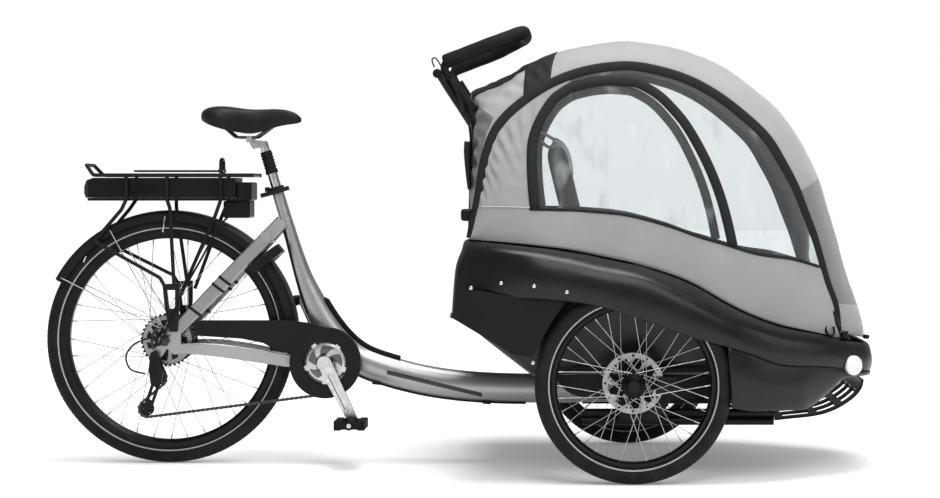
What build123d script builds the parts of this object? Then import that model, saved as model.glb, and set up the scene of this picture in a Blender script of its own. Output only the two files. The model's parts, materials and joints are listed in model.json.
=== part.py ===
from build123d import *
import os
from math import acos, atan2, cos, degrees, hypot, pi, radians, sin

# Front-loading cargo tricycle: one driven rear wheel, two front wheels under a hooded cabin.
# Millimetres.  +X points forward, +Z up, and the drive side faces -Y.
# Stations are written from a datum near the rear axle.  MIDDLE_STATION is the middle of
# the whole machine, and write() moves every finished piece so that it becomes the origin.

MIDDLE_STATION = 794.0

# Driving dimensions
REAR_AXLE = (10.0, 337.0)            # 47-584 tyre, so the axle is one tyre radius above ground
REAR_TYRE_R = 337.0
REAR_BEAD_R = 292.0
FRONT_AXLE = (1264.0, 250.0)         # 47-406 tyres
FRONT_TYRE_R = 250.0
FRONT_BEAD_R = 203.0
REAR_RIM_DEPTH = 18.0                # from the bead seat to the inner face
FRONT_RIM_DEPTH = 9.5
TYRE_WIDTH = 47.0
TRACK_HALF = 400.0
STEER_X = 1264.0
CRANK = (440.0, 277.0)
CRANK_LENGTH = 175.0
CRANK_ANGLE = -63.4                  # degrees, right crank at rest
PITCH = 12.7                         # roller chain
CHAINRING_TEETH = 42
SPROCKET_TEETH = 19                  # the sprocket that the chain runs on
PULLEY_TEETH = 11
SPROCKET_RADII = [73, 63, 54, 46, 39, 32, 26]
SPROCKET_STEP = 3.9
FIRST_SPROCKET_Y = -45.0
CHAIN_INDEX = 4
CHAIN_Y = FIRST_SPROCKET_Y - SPROCKET_STEP * CHAIN_INDEX
CHAIN_HALF = 3.6                     # half the height of the chain's side plates
GUIDE_PULLEY = (-12.0, 235.0)
TENSION_PULLEY = (-40.5, 152.6)
DROPOUT_IN = 74.0
DROPOUT_OUT = 80.0
RUN = 0.05                           # radial running clearance
PRESS = 0.02                         # gap between two pieces that are fixed together

SEAT_TUBE_TOP = (301.0, 740.0)
SEAT_ANGLE = 73.4
SEATPOST_R = 13.6

TUB_WALL = 4.0
FLOOR_Z = 262.0
NOSE_X = 1915.0

os.makedirs("parts", exist_ok=True)


def write(node, shape):
    """Move a finished piece to the row's origin and write its STEP file."""
    export_step(Pos(-MIDDLE_STATION, 0, 0) * shape, f"parts/{node}.step")


def prism(points, y_low, y_high):
    """Side outline, given as (station, height) points, made solid between two Y planes."""
    face = make_face(Polyline(*points, close=True))
    return extrude(Plane.XZ.offset(-y_high) * face, amount=y_high - y_low)


def side_solid(face, y_low, y_high):
    """A side face drawn on XY, stood up and made solid between two Y planes."""
    return extrude(Plane.XZ.offset(-y_high) * face, amount=y_high - y_low)


def disc(centre, y_low, y_high, radius, hole=0.0):
    """Cylinder or ring about a Y axis."""
    shape = Circle(radius)
    if hole > 0:
        shape = shape - Circle(hole)
    return side_solid(Pos(centre[0], centre[1]) * shape, y_low, y_high)


def both(shape):
    """A piece and its mirror image, as separate solids."""
    return Compound(children=list(shape.solids()) + list(mirror(shape, about=Plane.XZ).solids()))


def group(shapes):
    """Separate solids that share one node."""
    return Compound(children=[solid for shape in shapes for solid in shape.solids()])


def fuse(shapes):
    """One solid from overlapping pieces."""
    shapes = list(shapes)
    return shapes[0].fuse(*shapes[1:])


def tube(points, radius, bend=30.0, hole=0.0):
    """Round tube along a bent line of 3-D points."""
    if len(points) == 2:
        path = Line(*points)
    else:
        path = FilletPolyline(*points, radius=bend)
    section = Circle(radius)
    if hole > 0:
        section = section - Circle(hole)
    return sweep(Plane(origin=path @ 0, z_dir=path % 0) * section, path=path)


def rod(start, end, radius):
    """Straight round bar between two 3-D points."""
    axis = Vector(*end) - Vector(*start)
    return extrude(Plane(origin=start, z_dir=axis) * Circle(radius), amount=axis.length)


def box(x_low, x_high, y_low, y_high, z_low, z_high):
    """Box from its limits."""
    size = (x_high - x_low, y_high - y_low, z_high - z_low)
    centre = ((x_high + x_low) / 2, (y_high + y_low) / 2, (z_high + z_low) / 2)
    return Pos(*centre) * Box(*size)


def soft_box(x_low, x_high, y_low, y_high, z_low, z_high, radius):
    """Box with all its edges rounded."""
    shape = box(x_low, x_high, y_low, y_high, z_low, z_high)
    return fillet(shape.edges(), radius)


def between(table, x):
    """Straight-line value at station x from a short list of (station, value) pairs."""
    if x <= table[0][0]:
        return table[0][1]
    for (x0, v0), (x1, v1) in zip(table, table[1:]):
        if x <= x1:
            return v0 + (v1 - v0) * (x - x0) / (x1 - x0)
    return table[-1][1]


# Wheels -----------------------------------------------------------------------------

def spin_profile(points, centre, y_mid):
    """Revolve a closed (radius, offset) outline about the wheel's Y axis."""
    face = make_face(Polyline(*points, close=True))
    return Pos(centre[0], y_mid, centre[1]) * revolve(face, axis=Axis.Y)


def tyre(centre, y_mid, outer_r, bead_r):
    """Hollow tyre casing."""
    wall = 4.5
    section_r = (outer_r + bead_r) / 2
    height = (outer_r - bead_r) / 2
    casing = Pos(section_r, 0) * Ellipse(height, TYRE_WIDTH / 2)
    hollow = Pos(section_r, 0) * Ellipse(height - wall, TYRE_WIDTH / 2 - wall)
    return Pos(centre[0], y_mid, centre[1]) * revolve(casing - hollow, axis=Axis.Y)


def rim(centre, y_mid, bead_r, depth):
    """Rim with bead hooks outside the tyre."""
    half = 15.0
    hook = 13.2
    inner = bead_r - depth
    corner = bead_r - depth * 0.55
    hook_top = bead_r + 3
    points = [
        (inner, 8), (corner, half), (hook_top, half), (hook_top, hook),
        (bead_r - 0.2, hook), (bead_r - 0.2, -hook), (hook_top, -hook), (hook_top, -half),
        (corner, -half), (inner, -8),
    ]
    return spin_profile(points, centre, y_mid)


def spokes(centre, y_mid, hub_r, flange_y, rim_r, count, cross):
    """Crossed wire spokes, each ending in a nipple at the rim."""
    wires = []
    lane = 1.35
    rim_r -= 0.6
    for index in range(count):
        side = 1 if index % 2 else -1
        lead = 1 if (index // 2) % 2 else -1
        rim_angle = 2 * pi * index / count
        hub_angle = rim_angle + lead * cross
        hub_y = y_mid + side * flange_y + lead * lane
        rim_y = y_mid + side * 3.5 + lead * lane
        start = (centre[0] + hub_r * cos(hub_angle), hub_y, centre[1] + hub_r * sin(hub_angle))
        end = (centre[0] + rim_r * cos(rim_angle), rim_y, centre[1] + rim_r * sin(rim_angle))
        inward = (Vector(*start) - Vector(*end)).normalized()
        nipple = Vector(*end) + inward * 13
        wires.append(fuse([rod(start, end, 0.95), rod(tuple(nipple), end, 1.8)]))
    return group(wires)


def rear_wheel():
    hub_shell = [
        (7 + RUN, -41), (22, -41), (22, -36), (60, -33), (67, -32), (67, -28), (61, -26),
        (61, 26), (67, 28), (67, 32), (60, 33), (26, 36), (26, 41), (7 + RUN, 41),
    ]
    write("rear_tyre", tyre(REAR_AXLE, 0, REAR_TYRE_R, REAR_BEAD_R))
    write("rear_rim", rim(REAR_AXLE, 0, REAR_BEAD_R, REAR_RIM_DEPTH))
    write("rear_hub", spin_profile(hub_shell, REAR_AXLE, 0))
    write("rear_spokes", spokes(REAR_AXLE, 0, 69.0, 30.0, REAR_BEAD_R - REAR_RIM_DEPTH, 36, radians(38)))


def front_wheel(side_name, side):
    y_mid = side * TRACK_HALF
    shell = [
        (10 + RUN, -44), (26, -44), (26, -40), (18, -36), (18, -28), (30, -26), (30, -23), (17, -18),
        (17, 18), (30, 23), (30, 26), (18, 30), (17, 40), (10 + RUN, 40),
    ]
    hub = spin_profile([(r, side * offset) for r, offset in shell], FRONT_AXLE, y_mid)
    rotor_low = y_mid - side * 48 - 1
    rotor = disc(FRONT_AXLE, rotor_low, rotor_low + 2, 78, 56)
    carrier = disc(FRONT_AXLE, rotor_low - 1, rotor_low + 3, 30, 10 + RUN)
    arms = []
    for index in range(6):
        arm = box(20, 60, rotor_low, rotor_low + 2, -4, 4)
        arms.append(Pos(FRONT_AXLE[0], 0, FRONT_AXLE[1]) * Rot(0, index * 60, 0) * arm)
    neck_low, neck_high = sorted((y_mid - side * 48, y_mid - side * 42))
    neck = disc(FRONT_AXLE, neck_low, neck_high, 26, 10 + RUN)
    brake = fuse([rotor, carrier, neck] + arms)
    holes = []
    for index in range(24):
        angle = radians(index * 15)
        radius = 63 if index % 2 else 71
        centre = (FRONT_AXLE[0] + radius * cos(angle), FRONT_AXLE[1] + radius * sin(angle))
        holes.append(disc(centre, rotor_low - 1, rotor_low + 3, 3.2))
    name = f"front_{side_name}"
    write(f"{name}_tyre", tyre(FRONT_AXLE, y_mid, FRONT_TYRE_R, FRONT_BEAD_R))
    write(f"{name}_rim", rim(FRONT_AXLE, y_mid, FRONT_BEAD_R, FRONT_RIM_DEPTH))
    write(f"{name}_hub", hub.fuse(brake).cut(*holes))
    rim_r = FRONT_BEAD_R - FRONT_RIM_DEPTH
    write(f"{name}_spokes", spokes(FRONT_AXLE, y_mid, 32.5, 24.5, rim_r, 36, radians(62)))


# Rear frame -------------------------------------------------------------------------

# Station, height, depth and width of the one flowing tube from the saddle to the front pivot.
FRAME_TUBE = [
    (301, 740, 31, 31), (323, 666, 34, 33), (347, 586, 38, 35), (372, 507, 48, 40), (399, 441, 64, 48),
    (441, 364, 76, 56), (488, 308, 80, 60), (528, 279, 80, 60), (588, 255, 80, 60), (679, 230, 80, 60),
    (780, 213, 80, 60), (900, 204, 80, 60), (1060, 202, 80, 60), (1262, 204, 76, 58),
]


def frame_tube(grow=0.0):
    """The main tube as a smooth loft of evenly spaced ovals, square to its centre line."""
    path = Spline(*[(x, 0, z) for x, z, depth, width in FRAME_TUBE])
    depths = [(x, depth) for x, z, depth, width in FRAME_TUBE]
    widths = [(x, width) for x, z, depth, width in FRAME_TUBE]
    count = 30
    sections = []
    for index in range(count + 1):
        centre = path @ (index / count)
        plane = Plane(origin=centre, x_dir=(0, 1, 0), z_dir=path % (index / count))
        half_width = between(widths, centre.X) / 2 + grow
        half_depth = between(depths, centre.X) / 2 + grow
        sections.append(plane * Ellipse(half_width, half_depth))
    return loft(sections)


def stay(stations):
    """Flat frame member: a loft through rounded sections given as (x, y, z, width, depth)."""
    points = [Vector(x, y, z) for x, y, z, width, depth in stations]
    sections = []
    for index, (x, y, z, width, depth) in enumerate(stations):
        direction = points[min(index + 1, len(points) - 1)] - points[max(index - 1, 0)]
        plane = Plane(origin=(x, y, z), x_dir=(0, 1, 0), z_dir=direction)
        sections.append(plane * RectangleRounded(width, depth, min(width, depth) * 0.35))
    return loft(sections)


def seat_axis_point(distance):
    """Point on the seat tube's axis, measured up from its top."""
    angle = radians(SEAT_ANGLE)
    return (SEAT_TUBE_TOP[0] - distance * cos(angle), 0, SEAT_TUBE_TOP[1] + distance * sin(angle))


def dropout(side):
    """Plate that holds the rear axle."""
    low, high = sorted((side * DROPOUT_IN, side * DROPOUT_OUT))
    eye = disc(REAR_AXLE, low, high, 17)
    web = prism([(12, 321), (2, 352), (30, 384), (52, 384), (54, 336), (50, 302), (34, 300)], low, high)
    if side > 0:
        return fuse([eye, web])
    hanger = prism([(-6, 326), (20, 322), (4, 296), (-10, 290), (-22, 300), (-20, 312)], low, high)
    return fuse([eye, web, hanger])


def main_frame():
    pieces = [frame_tube()]
    for side in (-1, 1):
        pieces.append(stay([(318, side * 16, 658, 15, 38), (200, side * 46, 533, 15, 38),
                            (120, side * 62, 448, 13, 37), (42, side * 77, 365, 5, 30)]))
        pieces.append(stay([(46, side * 77, 316, 5, 26), (130, side * 70, 313, 12, 34),
                            (232, side * 50, 299, 13, 38), (345, side * 31, 279, 13, 37)]))
        pieces.append(dropout(side))
    shell = [(325, 261), (325, 299), (392, 350), (420, 380), (520, 300), (470, 256), (440, 250)]
    pieces.append(prism(shell, -28, 28))
    pieces.append(disc(CRANK, -36, 36, 25))
    pieces.append(box(262, 290, -40, 40, 600, 630))
    pieces.append(Pos(STEER_X, 0, 160) * Cylinder(34, 88, align=(Align.CENTER, Align.CENTER, Align.MIN)))
    frame = fuse(pieces)
    seat_bore = rod(seat_axis_point(20), seat_axis_point(-200), SEATPOST_R + RUN)
    head_bore = Pos(STEER_X, 0, 204) * Cylinder(20, 120)
    tyre_room = disc(REAR_AXLE, -37, 37, 353)
    axle_hole = disc(REAR_AXLE, -90, 90, 7 + PRESS)
    crank_hole = disc(CRANK, -60, 60, 17 + PRESS)
    frame = frame.cut(seat_bore, head_bore, axle_hole, crank_hole, tyre_room)
    write("main_frame", max(frame.solids(), key=lambda solid: solid.volume))
    strip_zone = prism([(430, 450), (470, 430), (640, 330), (634, 250), (500, 300), (447, 364)], -13, 13)
    strip = (frame_tube(8.0) & strip_zone).cut(frame_tube(0.05))
    write("frame_guard_strip", max(strip.solids(), key=lambda solid: solid.volume))


def headset_bearings():
    rings = []
    for z_low in (162, 232):
        ring = Pos(STEER_X, 0, z_low) * extrude(Circle(20 - PRESS) - Circle(12 + RUN), amount=14)
        rings.append(ring)
    write("headset_bearings", group(rings))


def rear_axle():
    axle = disc(REAR_AXLE, -94, 94, 7)
    nuts = []
    for side in (-1, 1):
        low, high = sorted((side * (DROPOUT_OUT + RUN), side * (DROPOUT_OUT + 9)))
        flat = side_solid(Pos(*REAR_AXLE) * RegularPolygon(15, 6), low, high)
        nuts.append(flat)
    write("rear_axle", fuse([axle] + nuts))


def rear_fender():
    outer = 351.0
    flange = 322.0
    sheet = 1.6
    half = 35.0
    outline = [
        (flange, half), (outer - 10, half), (outer - 2, half - 7), (outer, 0), (outer - 2, 7 - half),
        (outer - 10, -half), (flange, -half), (flange, sheet - half), (outer - 10 - sheet, sheet - half),
        (outer - 2 - sheet, 8 - half), (outer - sheet, 0), (outer - 2 - sheet, half - 8),
        (outer - 10 - sheet, half - sheet), (flange, half - sheet),
    ]
    face = make_face(Polyline(*outline, close=True))
    sweep_angle = 150.0
    shell = revolve(face, axis=Axis.Y, revolution_arc=sweep_angle)
    shell = Rot(0, -152, 0) * shell
    shell = Pos(REAR_AXLE[0], 0, REAR_AXLE[1]) * shell
    write("rear_fender", shell)


def fender_stays():
    wires = []
    clip_r = 336.0
    for angle, foot_x, foot_z in ((150, 2.0, 372.0), (118, 14.0, 374.0)):
        clip_x = REAR_AXLE[0] + clip_r * cos(radians(angle))
        clip_z = REAR_AXLE[1] + clip_r * sin(radians(angle))
        line = [(clip_x, 37.5, clip_z), (foot_x - 12, 66.0, foot_z), (foot_x, 70.5, foot_z)]
        wires.append(tube(line, 1.4, 6))
    write("fender_stays", both(group(wires)))


# Drive ------------------------------------------------------------------------------

def pitch_radius(teeth):
    """Radius at which a roller chain runs on a sprocket."""
    return PITCH / (2 * sin(pi / teeth))


def chain_circles():
    """Centres, pitch radii and turning senses of the four wheels in the chain's path."""
    return [
        (REAR_AXLE, pitch_radius(SPROCKET_TEETH), 1),
        (CRANK, pitch_radius(CHAINRING_TEETH), 1),
        (TENSION_PULLEY, pitch_radius(PULLEY_TEETH), 1),
        (GUIDE_PULLEY, pitch_radius(PULLEY_TEETH), -1),
    ]


def chain_face(offset):
    """Area inside the chain loop, grown outward by offset."""
    circles = [(c, r + s * offset, s) for c, r, s in chain_circles()]
    edges = []
    ends = []
    count = len(circles)
    for index in range(count):
        (xa, za), ra, sa = circles[index]
        (xb, zb), rb, sb = circles[(index + 1) % count]
        dist = hypot(xb - xa, zb - za)
        heading = atan2(zb - za, xb - xa)
        tilt = acos((sa * ra - sb * rb) / dist)
        normal = heading + tilt
        start = (xa + sa * ra * cos(normal), za + sa * ra * sin(normal))
        end = (xb + sb * rb * cos(normal), zb + sb * rb * sin(normal))
        edges.append(Line(start, end))
        ends.append((start, end))
    for index in range(count):
        centre, radius, sense = circles[index]
        arrive = ends[index - 1][1]
        leave = ends[index][0]
        a0 = atan2(arrive[1] - centre[1], arrive[0] - centre[0])
        a1 = atan2(leave[1] - centre[1], leave[0] - centre[0])
        turn = (a1 - a0) % (2 * pi)
        if sense > 0:
            turn -= 2 * pi
        middle = a0 + turn / 2
        mid_point = (centre[0] + radius * cos(middle), centre[1] + radius * sin(middle))
        edges.append(ThreePointArc(arrive, mid_point, leave))
    return make_face(edges)


def drive_chain():
    ribbon = chain_face(CHAIN_HALF) - chain_face(-CHAIN_HALF)
    write("drive_chain", side_solid(ribbon, CHAIN_Y - 2.8, CHAIN_Y + 2.8))


def toothed(radius, teeth, depth):
    """Sprocket outline."""
    points = []
    for index in range(teeth):
        for share, r in ((0.0, radius - depth), (0.25, radius - depth), (0.5, radius), (0.75, radius)):
            angle = 2 * pi * (index + share) / teeth
            points.append((r * cos(angle), r * sin(angle)))
    return make_face(Polyline(*points, close=True))


def cassette():
    discs = []
    for index, radius in enumerate(SPROCKET_RADII):
        y_mid = FIRST_SPROCKET_Y - SPROCKET_STEP * index
        if index == CHAIN_INDEX:
            outline = Circle(pitch_radius(SPROCKET_TEETH) - CHAIN_HALF - 0.3)
        else:
            outline = toothed(radius, round(2 * pi * radius / PITCH), 5)
        if index == 0:
            for window in range(7):
                outline = outline - Rot(0, 0, window * 360 / 7) * Pos(47, 0) * Circle(9)
        plate = side_solid(Pos(*REAR_AXLE) * outline, y_mid - 0.9, y_mid + 0.9)
        discs.append(plate)
    last_y = FIRST_SPROCKET_Y - SPROCKET_STEP * (len(SPROCKET_RADII) - 1)
    core = disc(REAR_AXLE, last_y - 2.5, FIRST_SPROCKET_Y + 2.5, 20)
    body = fuse([core] + discs).cut(disc(REAR_AXLE, -80, -30, 7 + RUN))
    write("cassette", body)


def derailleur():
    y = CHAIN_Y
    hanger_bolt = disc((-14, 303), -96, -DROPOUT_OUT - RUN, 7)
    link = [(-25, 306), (-12, 313), (-3, 302), (-2, 272), (9, 252), (4, 226), (-24, 222), (-30, 262)]
    knuckle = prism(link, -96, -83)
    inner_arm = disc(GUIDE_PULLEY, -83, y - 7.5, 9)
    body = fuse([hanger_bolt, knuckle, inner_arm])
    write("derailleur_body", body)
    dx = TENSION_PULLEY[0] - GUIDE_PULLEY[0]
    dz = TENSION_PULLEY[1] - GUIDE_PULLEY[1]
    length = hypot(dx, dz)
    lean = degrees(atan2(dz, dx))
    outline = fuse([Pos(length / 2, 0) * SlotOverall(length + 26, 22)])
    outline = outline - Pos(length / 2, 0) * SlotOverall(length * 0.45, 9)
    face = Pos(*GUIDE_PULLEY) * Rot(0, 0, lean) * outline
    outer = side_solid(face, y - 7, y - 5).cut(disc(GUIDE_PULLEY, y - 9, y - 4, 2.9))
    inner = side_solid(face, y + 5, y + 7)
    pin = disc(TENSION_PULLEY, y - 7, y + 7, 3)
    guide_pin = disc(GUIDE_PULLEY, y - 6.9, y + 6, 3)
    write("derailleur_cage", fuse([outer, inner, pin, guide_pin]))
    for name, centre in (("guide_pulley", GUIDE_PULLEY), ("tension_pulley", TENSION_PULLEY)):
        wheel = Circle(pitch_radius(PULLEY_TEETH) - CHAIN_HALF - 0.3) - Circle(3 + RUN)
        for window in range(6):
            wheel = wheel - Rot(0, 0, window * 60) * Pos(11, 0) * Circle(2.6)
        write(name, side_solid(Pos(*centre) * wheel, y - 2.6, y + 2.6))


def crank_arm(angle, y_low, y_high):
    """Tapered crank arm with its spindle boss and pedal eye."""
    tip = (CRANK[0] + CRANK_LENGTH * cos(radians(angle)), CRANK[1] + CRANK_LENGTH * sin(radians(angle)))
    outline = make_hull(
        [Pos(0, 0) * Edge.make_circle(19), Pos(CRANK_LENGTH, 0) * Edge.make_circle(13)]
    )
    arm = side_solid(Pos(*CRANK) * Rot(0, 0, angle) * outline, y_low, y_high)
    slot = Pos(*CRANK) * Rot(0, 0, angle) * Pos(CRANK_LENGTH / 2, 0) * SlotOverall(108, 9)
    if y_low < 0:
        groove = side_solid(slot, y_low - 1, y_low + 3)
    else:
        groove = side_solid(slot, y_high - 3, y_high + 1)
    arm = arm.cut(groove)
    return fillet(arm.edges().filter_by(Plane.XZ).group_by(Axis.Y)[0], 2.5), tip


def cranks():
    right, right_tip = crank_arm(CRANK_ANGLE, -86, -72)
    ring_y = CHAIN_Y
    ring_r = pitch_radius(CHAINRING_TEETH) - CHAIN_HALF - 0.3
    ring = Circle(ring_r) - Circle(62)
    spider = [disc(CRANK, ring_y - 2, ring_y + 2, 24)]
    for index in range(5):
        arm = box(18, 66, ring_y - 2, ring_y + 2, -7, 7)
        spider.append(Pos(CRANK[0], 0, CRANK[1]) * Rot(0, index * 72 + 20, 0) * arm)
    boss = disc(CRANK, -73, ring_y + 2, 19)
    ring_solid = side_solid(Pos(*CRANK) * ring, ring_y - 2, ring_y + 2)
    right_axle = disc(right_tip, -186, -80, 6)
    bolt_hole = disc(CRANK, -75, -50, 8.5 + PRESS)
    write("right_crank", fuse([right, ring_solid, boss, right_axle] + spider).cut(bolt_hole))
    left, left_tip = crank_arm(CRANK_ANGLE + 180, 72, 86)
    left_axle = disc(left_tip, 80, 186, 6)
    left_hole = disc(CRANK, 60, 79, 8.5 + PRESS)
    write("left_crank", fuse([left, left_axle]).cut(left_hole))
    write("crank_spindle", disc(CRANK, -74.5, 78.5, 8.5))
    cups = []
    for side in (-1, 1):
        low, high = sorted((side * 20, side * 36))
        cups.append(fuse([disc(CRANK, low, high, 17, 8.5 + RUN),
                          disc(CRANK, *sorted((side * 36.05, side * 40)), 22, 8.5 + RUN),
                          disc(CRANK, *sorted((side * 35.5, side * 36.5)), 16.5, 8.5 + RUN)]))
    write("bottom_bracket_cups", group(cups))
    for name, tip, side in (("right_pedal", right_tip, -1), ("left_pedal", left_tip, 1)):
        write(name, pedal(tip, side))


def pedal(tip, side):
    """Platform pedal: two rubber treads between end plates on a barrel."""
    low, high = sorted((side * 90, side * 184))
    x, z = tip
    barrel = disc(tip, low, high, 12)
    treads = []
    for dx in (-31, 31):
        treads.append(soft_box(x + dx - 10, x + dx + 10, low + 3, high - 3, z - 13, z + 13, 3))
    plates = []
    for y in (low, high - 5):
        plates.append(soft_box(x - 38, x + 38, y, y + 5, z - 10, z + 10, 2))
    return fuse([barrel] + treads + plates).cut(disc(tip, low - 2, high + 2, 6 + RUN))


def chain_case():
    """Open-centred ring round the chainring with an arm over the upper chain run."""
    outline = [(86, 372), (88, 385), (108, 391), (340, 391), (395, 384), (440, 373), (440, 290), (345, 300),
               (311, 309), (274, 330), (215, 342), (124, 348), (92, 350)]
    arm = make_face(Polyline(*outline, close=True))
    cover = fuse([arm, Pos(*CRANK) * Circle(96)])
    opening = Pos(*CRANK) * Circle(59)
    hollow = fuse([Pos(*CRANK) * Circle(93.5), make_face(Polyline(
        (80, 355), (80, 381), (110, 388), (340, 388), (394, 381), (436, 370), (436, 294), (346, 305),
        (312, 314),
        (276, 335), (216, 347), (124, 353), close=True))])
    y_out = CHAIN_Y - 9
    y_in = CHAIN_Y + 9
    shell = side_solid(cover, y_out, y_in).cut(side_solid(hollow, y_out + 2, y_in - 2))
    shell = shell.cut(side_solid(opening, y_out - 1, y_in + 1))
    exit_slot = prism([(300, 155), (300, 200), (430, 215), (430, 165)], y_out + 2, y_in - 2)
    tail = prism([(60, 352), (60, 383), (100, 384), (100, 354)], y_out + 2, y_in - 2)
    write("chain_case", shell.cut(exit_slot, tail))


# Saddle and seatpost ----------------------------------------------------------------

def seat_parts():
    top_z = seat_axis_point(0)
    frame_gap = frame_tube(0.05)
    ears = box(268, 280, -11, 11, 738, 750)
    collar_top = extrude(Plane(origin=seat_axis_point(2), z_dir=Vector(*seat_axis_point(10)) - Vector(*top_z))
                         * (Circle(20) - Circle(SEATPOST_R + 0.6)), amount=10)
    post_room = rod(seat_axis_point(-40), seat_axis_point(60), SEATPOST_R + 0.6)
    clamp = fuse([collar_top, ears]).cut(post_room, frame_gap)
    pivot_hole = rod((274, 0, 730), (274, 0, 760), 3 + RUN)
    write("seat_clamp", max(clamp.cut(pivot_hole).solids(), key=lambda solid: solid.volume))
    lever = tube([(260, -25, 727), (290, -27, 735), (336, -25, 749)], 6.0, 10)
    pin = rod((274, 0, 751), (274, 0, 729), 3)
    hook = tube([(274, 0, 731), (274, -12, 731), (266, -24, 729)], 3, 4)
    write("seat_clamp_lever", fuse([lever, pin, hook]))
    post = rod(seat_axis_point(-170), seat_axis_point(60), SEATPOST_R)
    socket = rod(seat_axis_point(-60), seat_axis_point(80), 9 + RUN)
    write("seatpost", post.cut(socket))
    boot_rings = []
    for index in range(6):
        start = seat_axis_point(64 + index * 8.5)
        end = seat_axis_point(64 + index * 8.5 + 5.5)
        boot_rings.append(rod(start, end, 16.5))
    boot_rings.append(rod(seat_axis_point(50), seat_axis_point(112), 15.0))
    boot = fuse(boot_rings).cut(rod(seat_axis_point(40), seat_axis_point(63), SEATPOST_R + RUN),
                               rod(seat_axis_point(40), seat_axis_point(120), 9.4))
    write("seatpost_boot", boot)
    slider = rod(seat_axis_point(-15), seat_axis_point(132), 9)
    upper = rod(seat_axis_point(113), seat_axis_point(136), 12.5)
    x0, _, z0 = seat_axis_point(134)
    bridge = prism([(x0 - 36, z0 + 2), (x0 - 34, z0 + 12), (x0 + 8, z0 + 8), (x0 + 10, z0 - 8),
                    (x0 - 12, z0 - 10),
                    (x0 - 26, z0 - 14)], -13, 13)
    jaw = box(x0 - 42, x0 - 27, -29, 29, z0 + 4, z0 + 20)
    rail_room = [rod((x0 - 80, y, z0 + 18), (x0 + 60, y, z0 + 18), 3.6) for y in (-22, 22)]
    write("seatpost_head", fuse([slider, upper, bridge, jaw]).cut(*rail_room))
    rails = []
    for y in (-22, 22):
        rails.append(tube([(158, y, 914), (190, y, z0 + 18), (246, y, z0 + 18),
                           (286, y * 0.5, 914)], 3.5, 14))
    write("saddle_rails", group(rails))


def saddle():
    """Plain closed saddle: the side outline met by the plan outline."""
    side = [(98, 947), (113, 965), (146, 972), (197, 967), (241, 961), (299, 965), (336, 961), (358, 947),
            (367, 932), (351, 921), (292, 918), (226, 922), (168, 918), (128, 928), (98, 932)]
    body = prism(side, -110, 110)
    half = [(98, 0), (100, 62), (120, 88), (150, 92), (185, 74), (220, 46), (260, 30), (330, 23),
            (358, 16), (367, 0)]
    outline = half + [(x, -y) for x, y in reversed(half[1:-1])]
    plan = Pos(0, 0, 880) * extrude(make_face(Polyline(*outline, close=True)), amount=120)
    write("saddle", body & plan)


# Rack and battery ------------------------------------------------------------------

def rear_rack():
    rail_y = 60
    leg_y = 86
    r = 5.0
    rear_leg = [(-98, rail_y, 783), (-98, 60, 718), (-114, 46, 690), (-187, 49, 604), (-2, 83, 507),
                (14, leg_y, 480)]
    side = [
        tube([(-210, 40, 810), (-188, 56, 783), (-150, rail_y, 783), (247, rail_y, 783)], r, 14),
        tube([(12, rail_y, 783), (12, 59, 716), (16, 42, 694), (37, leg_y, 480)], r, 12),
        tube([(156, rail_y, 783), (157, 59, 716), (140, 50, 672), (58, leg_y, 470)], r, 12),
        tube(rear_leg, r, 12),
    ]
    plate = prism([(6, 490), (52, 492), (52, 440), (46, 362), (24, 362), (12, 430)], 81.5, 90)
    window = prism([(18, 474), (40, 474), (40, 424), (24, 424)], 80, 92)
    side.append(plate.cut(window))
    right = [mirror(piece, about=Plane.XZ) for piece in side]
    across = [rod((x, -rail_y, 783), (x, rail_y, 783), r) for x in (-150, -50, 60, 240)]
    across.append(rod((-210, -40, 810), (-210, 40, 810), r))
    rack = fuse(side + right + across)
    write("rear_rack", rack)
    plate = soft_box(-85, 142, -30, 30, 792, 797, 1.5)
    slots = [box(-70, 100, y - 6, y + 6, 780, 810) for y in (-14, 14)]
    hoop = tube([(150, -19, 795), (150, -19, 826), (150, 19, 826), (150, 19, 795)], r, 14)
    eyes = [rod((150, y - 7, 795), (150, y + 7, 795), 6.5) for y in (-19, 19)]
    clamp = fuse([plate.cut(*slots), hoop] + eyes).cut(rod((150, -60, 795), (150, 60, 795), 3 + RUN))
    write("rack_clamp", clamp)


def battery_parts():
    """Battery with a rounded nose, and the slim tray, socket block and controller that stay."""
    half = 52
    outline = [(-214, 722), (196, 722), (196, 776), (-190, 776), (-212, 769), (-220, 752), (-220, 734)]
    nose = [(-225, -22), (-205, -44), (-178, -half), (210, -half), (210, half), (-178, half),
            (-205, 44), (-225, 22)]
    plan = Pos(0, 0, 700) * extrude(make_face(Polyline(*nose, close=True)), amount=90)
    body = prism(outline, -half, half) & plan
    handle = box(-200, -172, -30, 30, 745, 790)
    grooves = [box(-93, -9, -60, 3 - half, z, z + 5) for z in (735, 745, 755)]
    panel = box(-157, -128, -half - 1, 1 - half, 736, 757)
    write("battery", body.cut(handle, *grooves).fuse(panel))
    deck = box(-205, 200, -50, 50, 714, 721.5)
    block = soft_box(196.5, 238, -48, 48, 714, 764, 5)
    controller = soft_box(160, 232, -40, 40, 667, 713.5, 5)
    link = box(190, 230, -40, 40, 712, 716)
    ledges = [box(-103, -93, y0, y0 + 6, 719, 721.5) for y0 in (-54.5, 48.5)]
    write("battery_cradle", fuse([deck, block, controller, link] + ledges))


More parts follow.
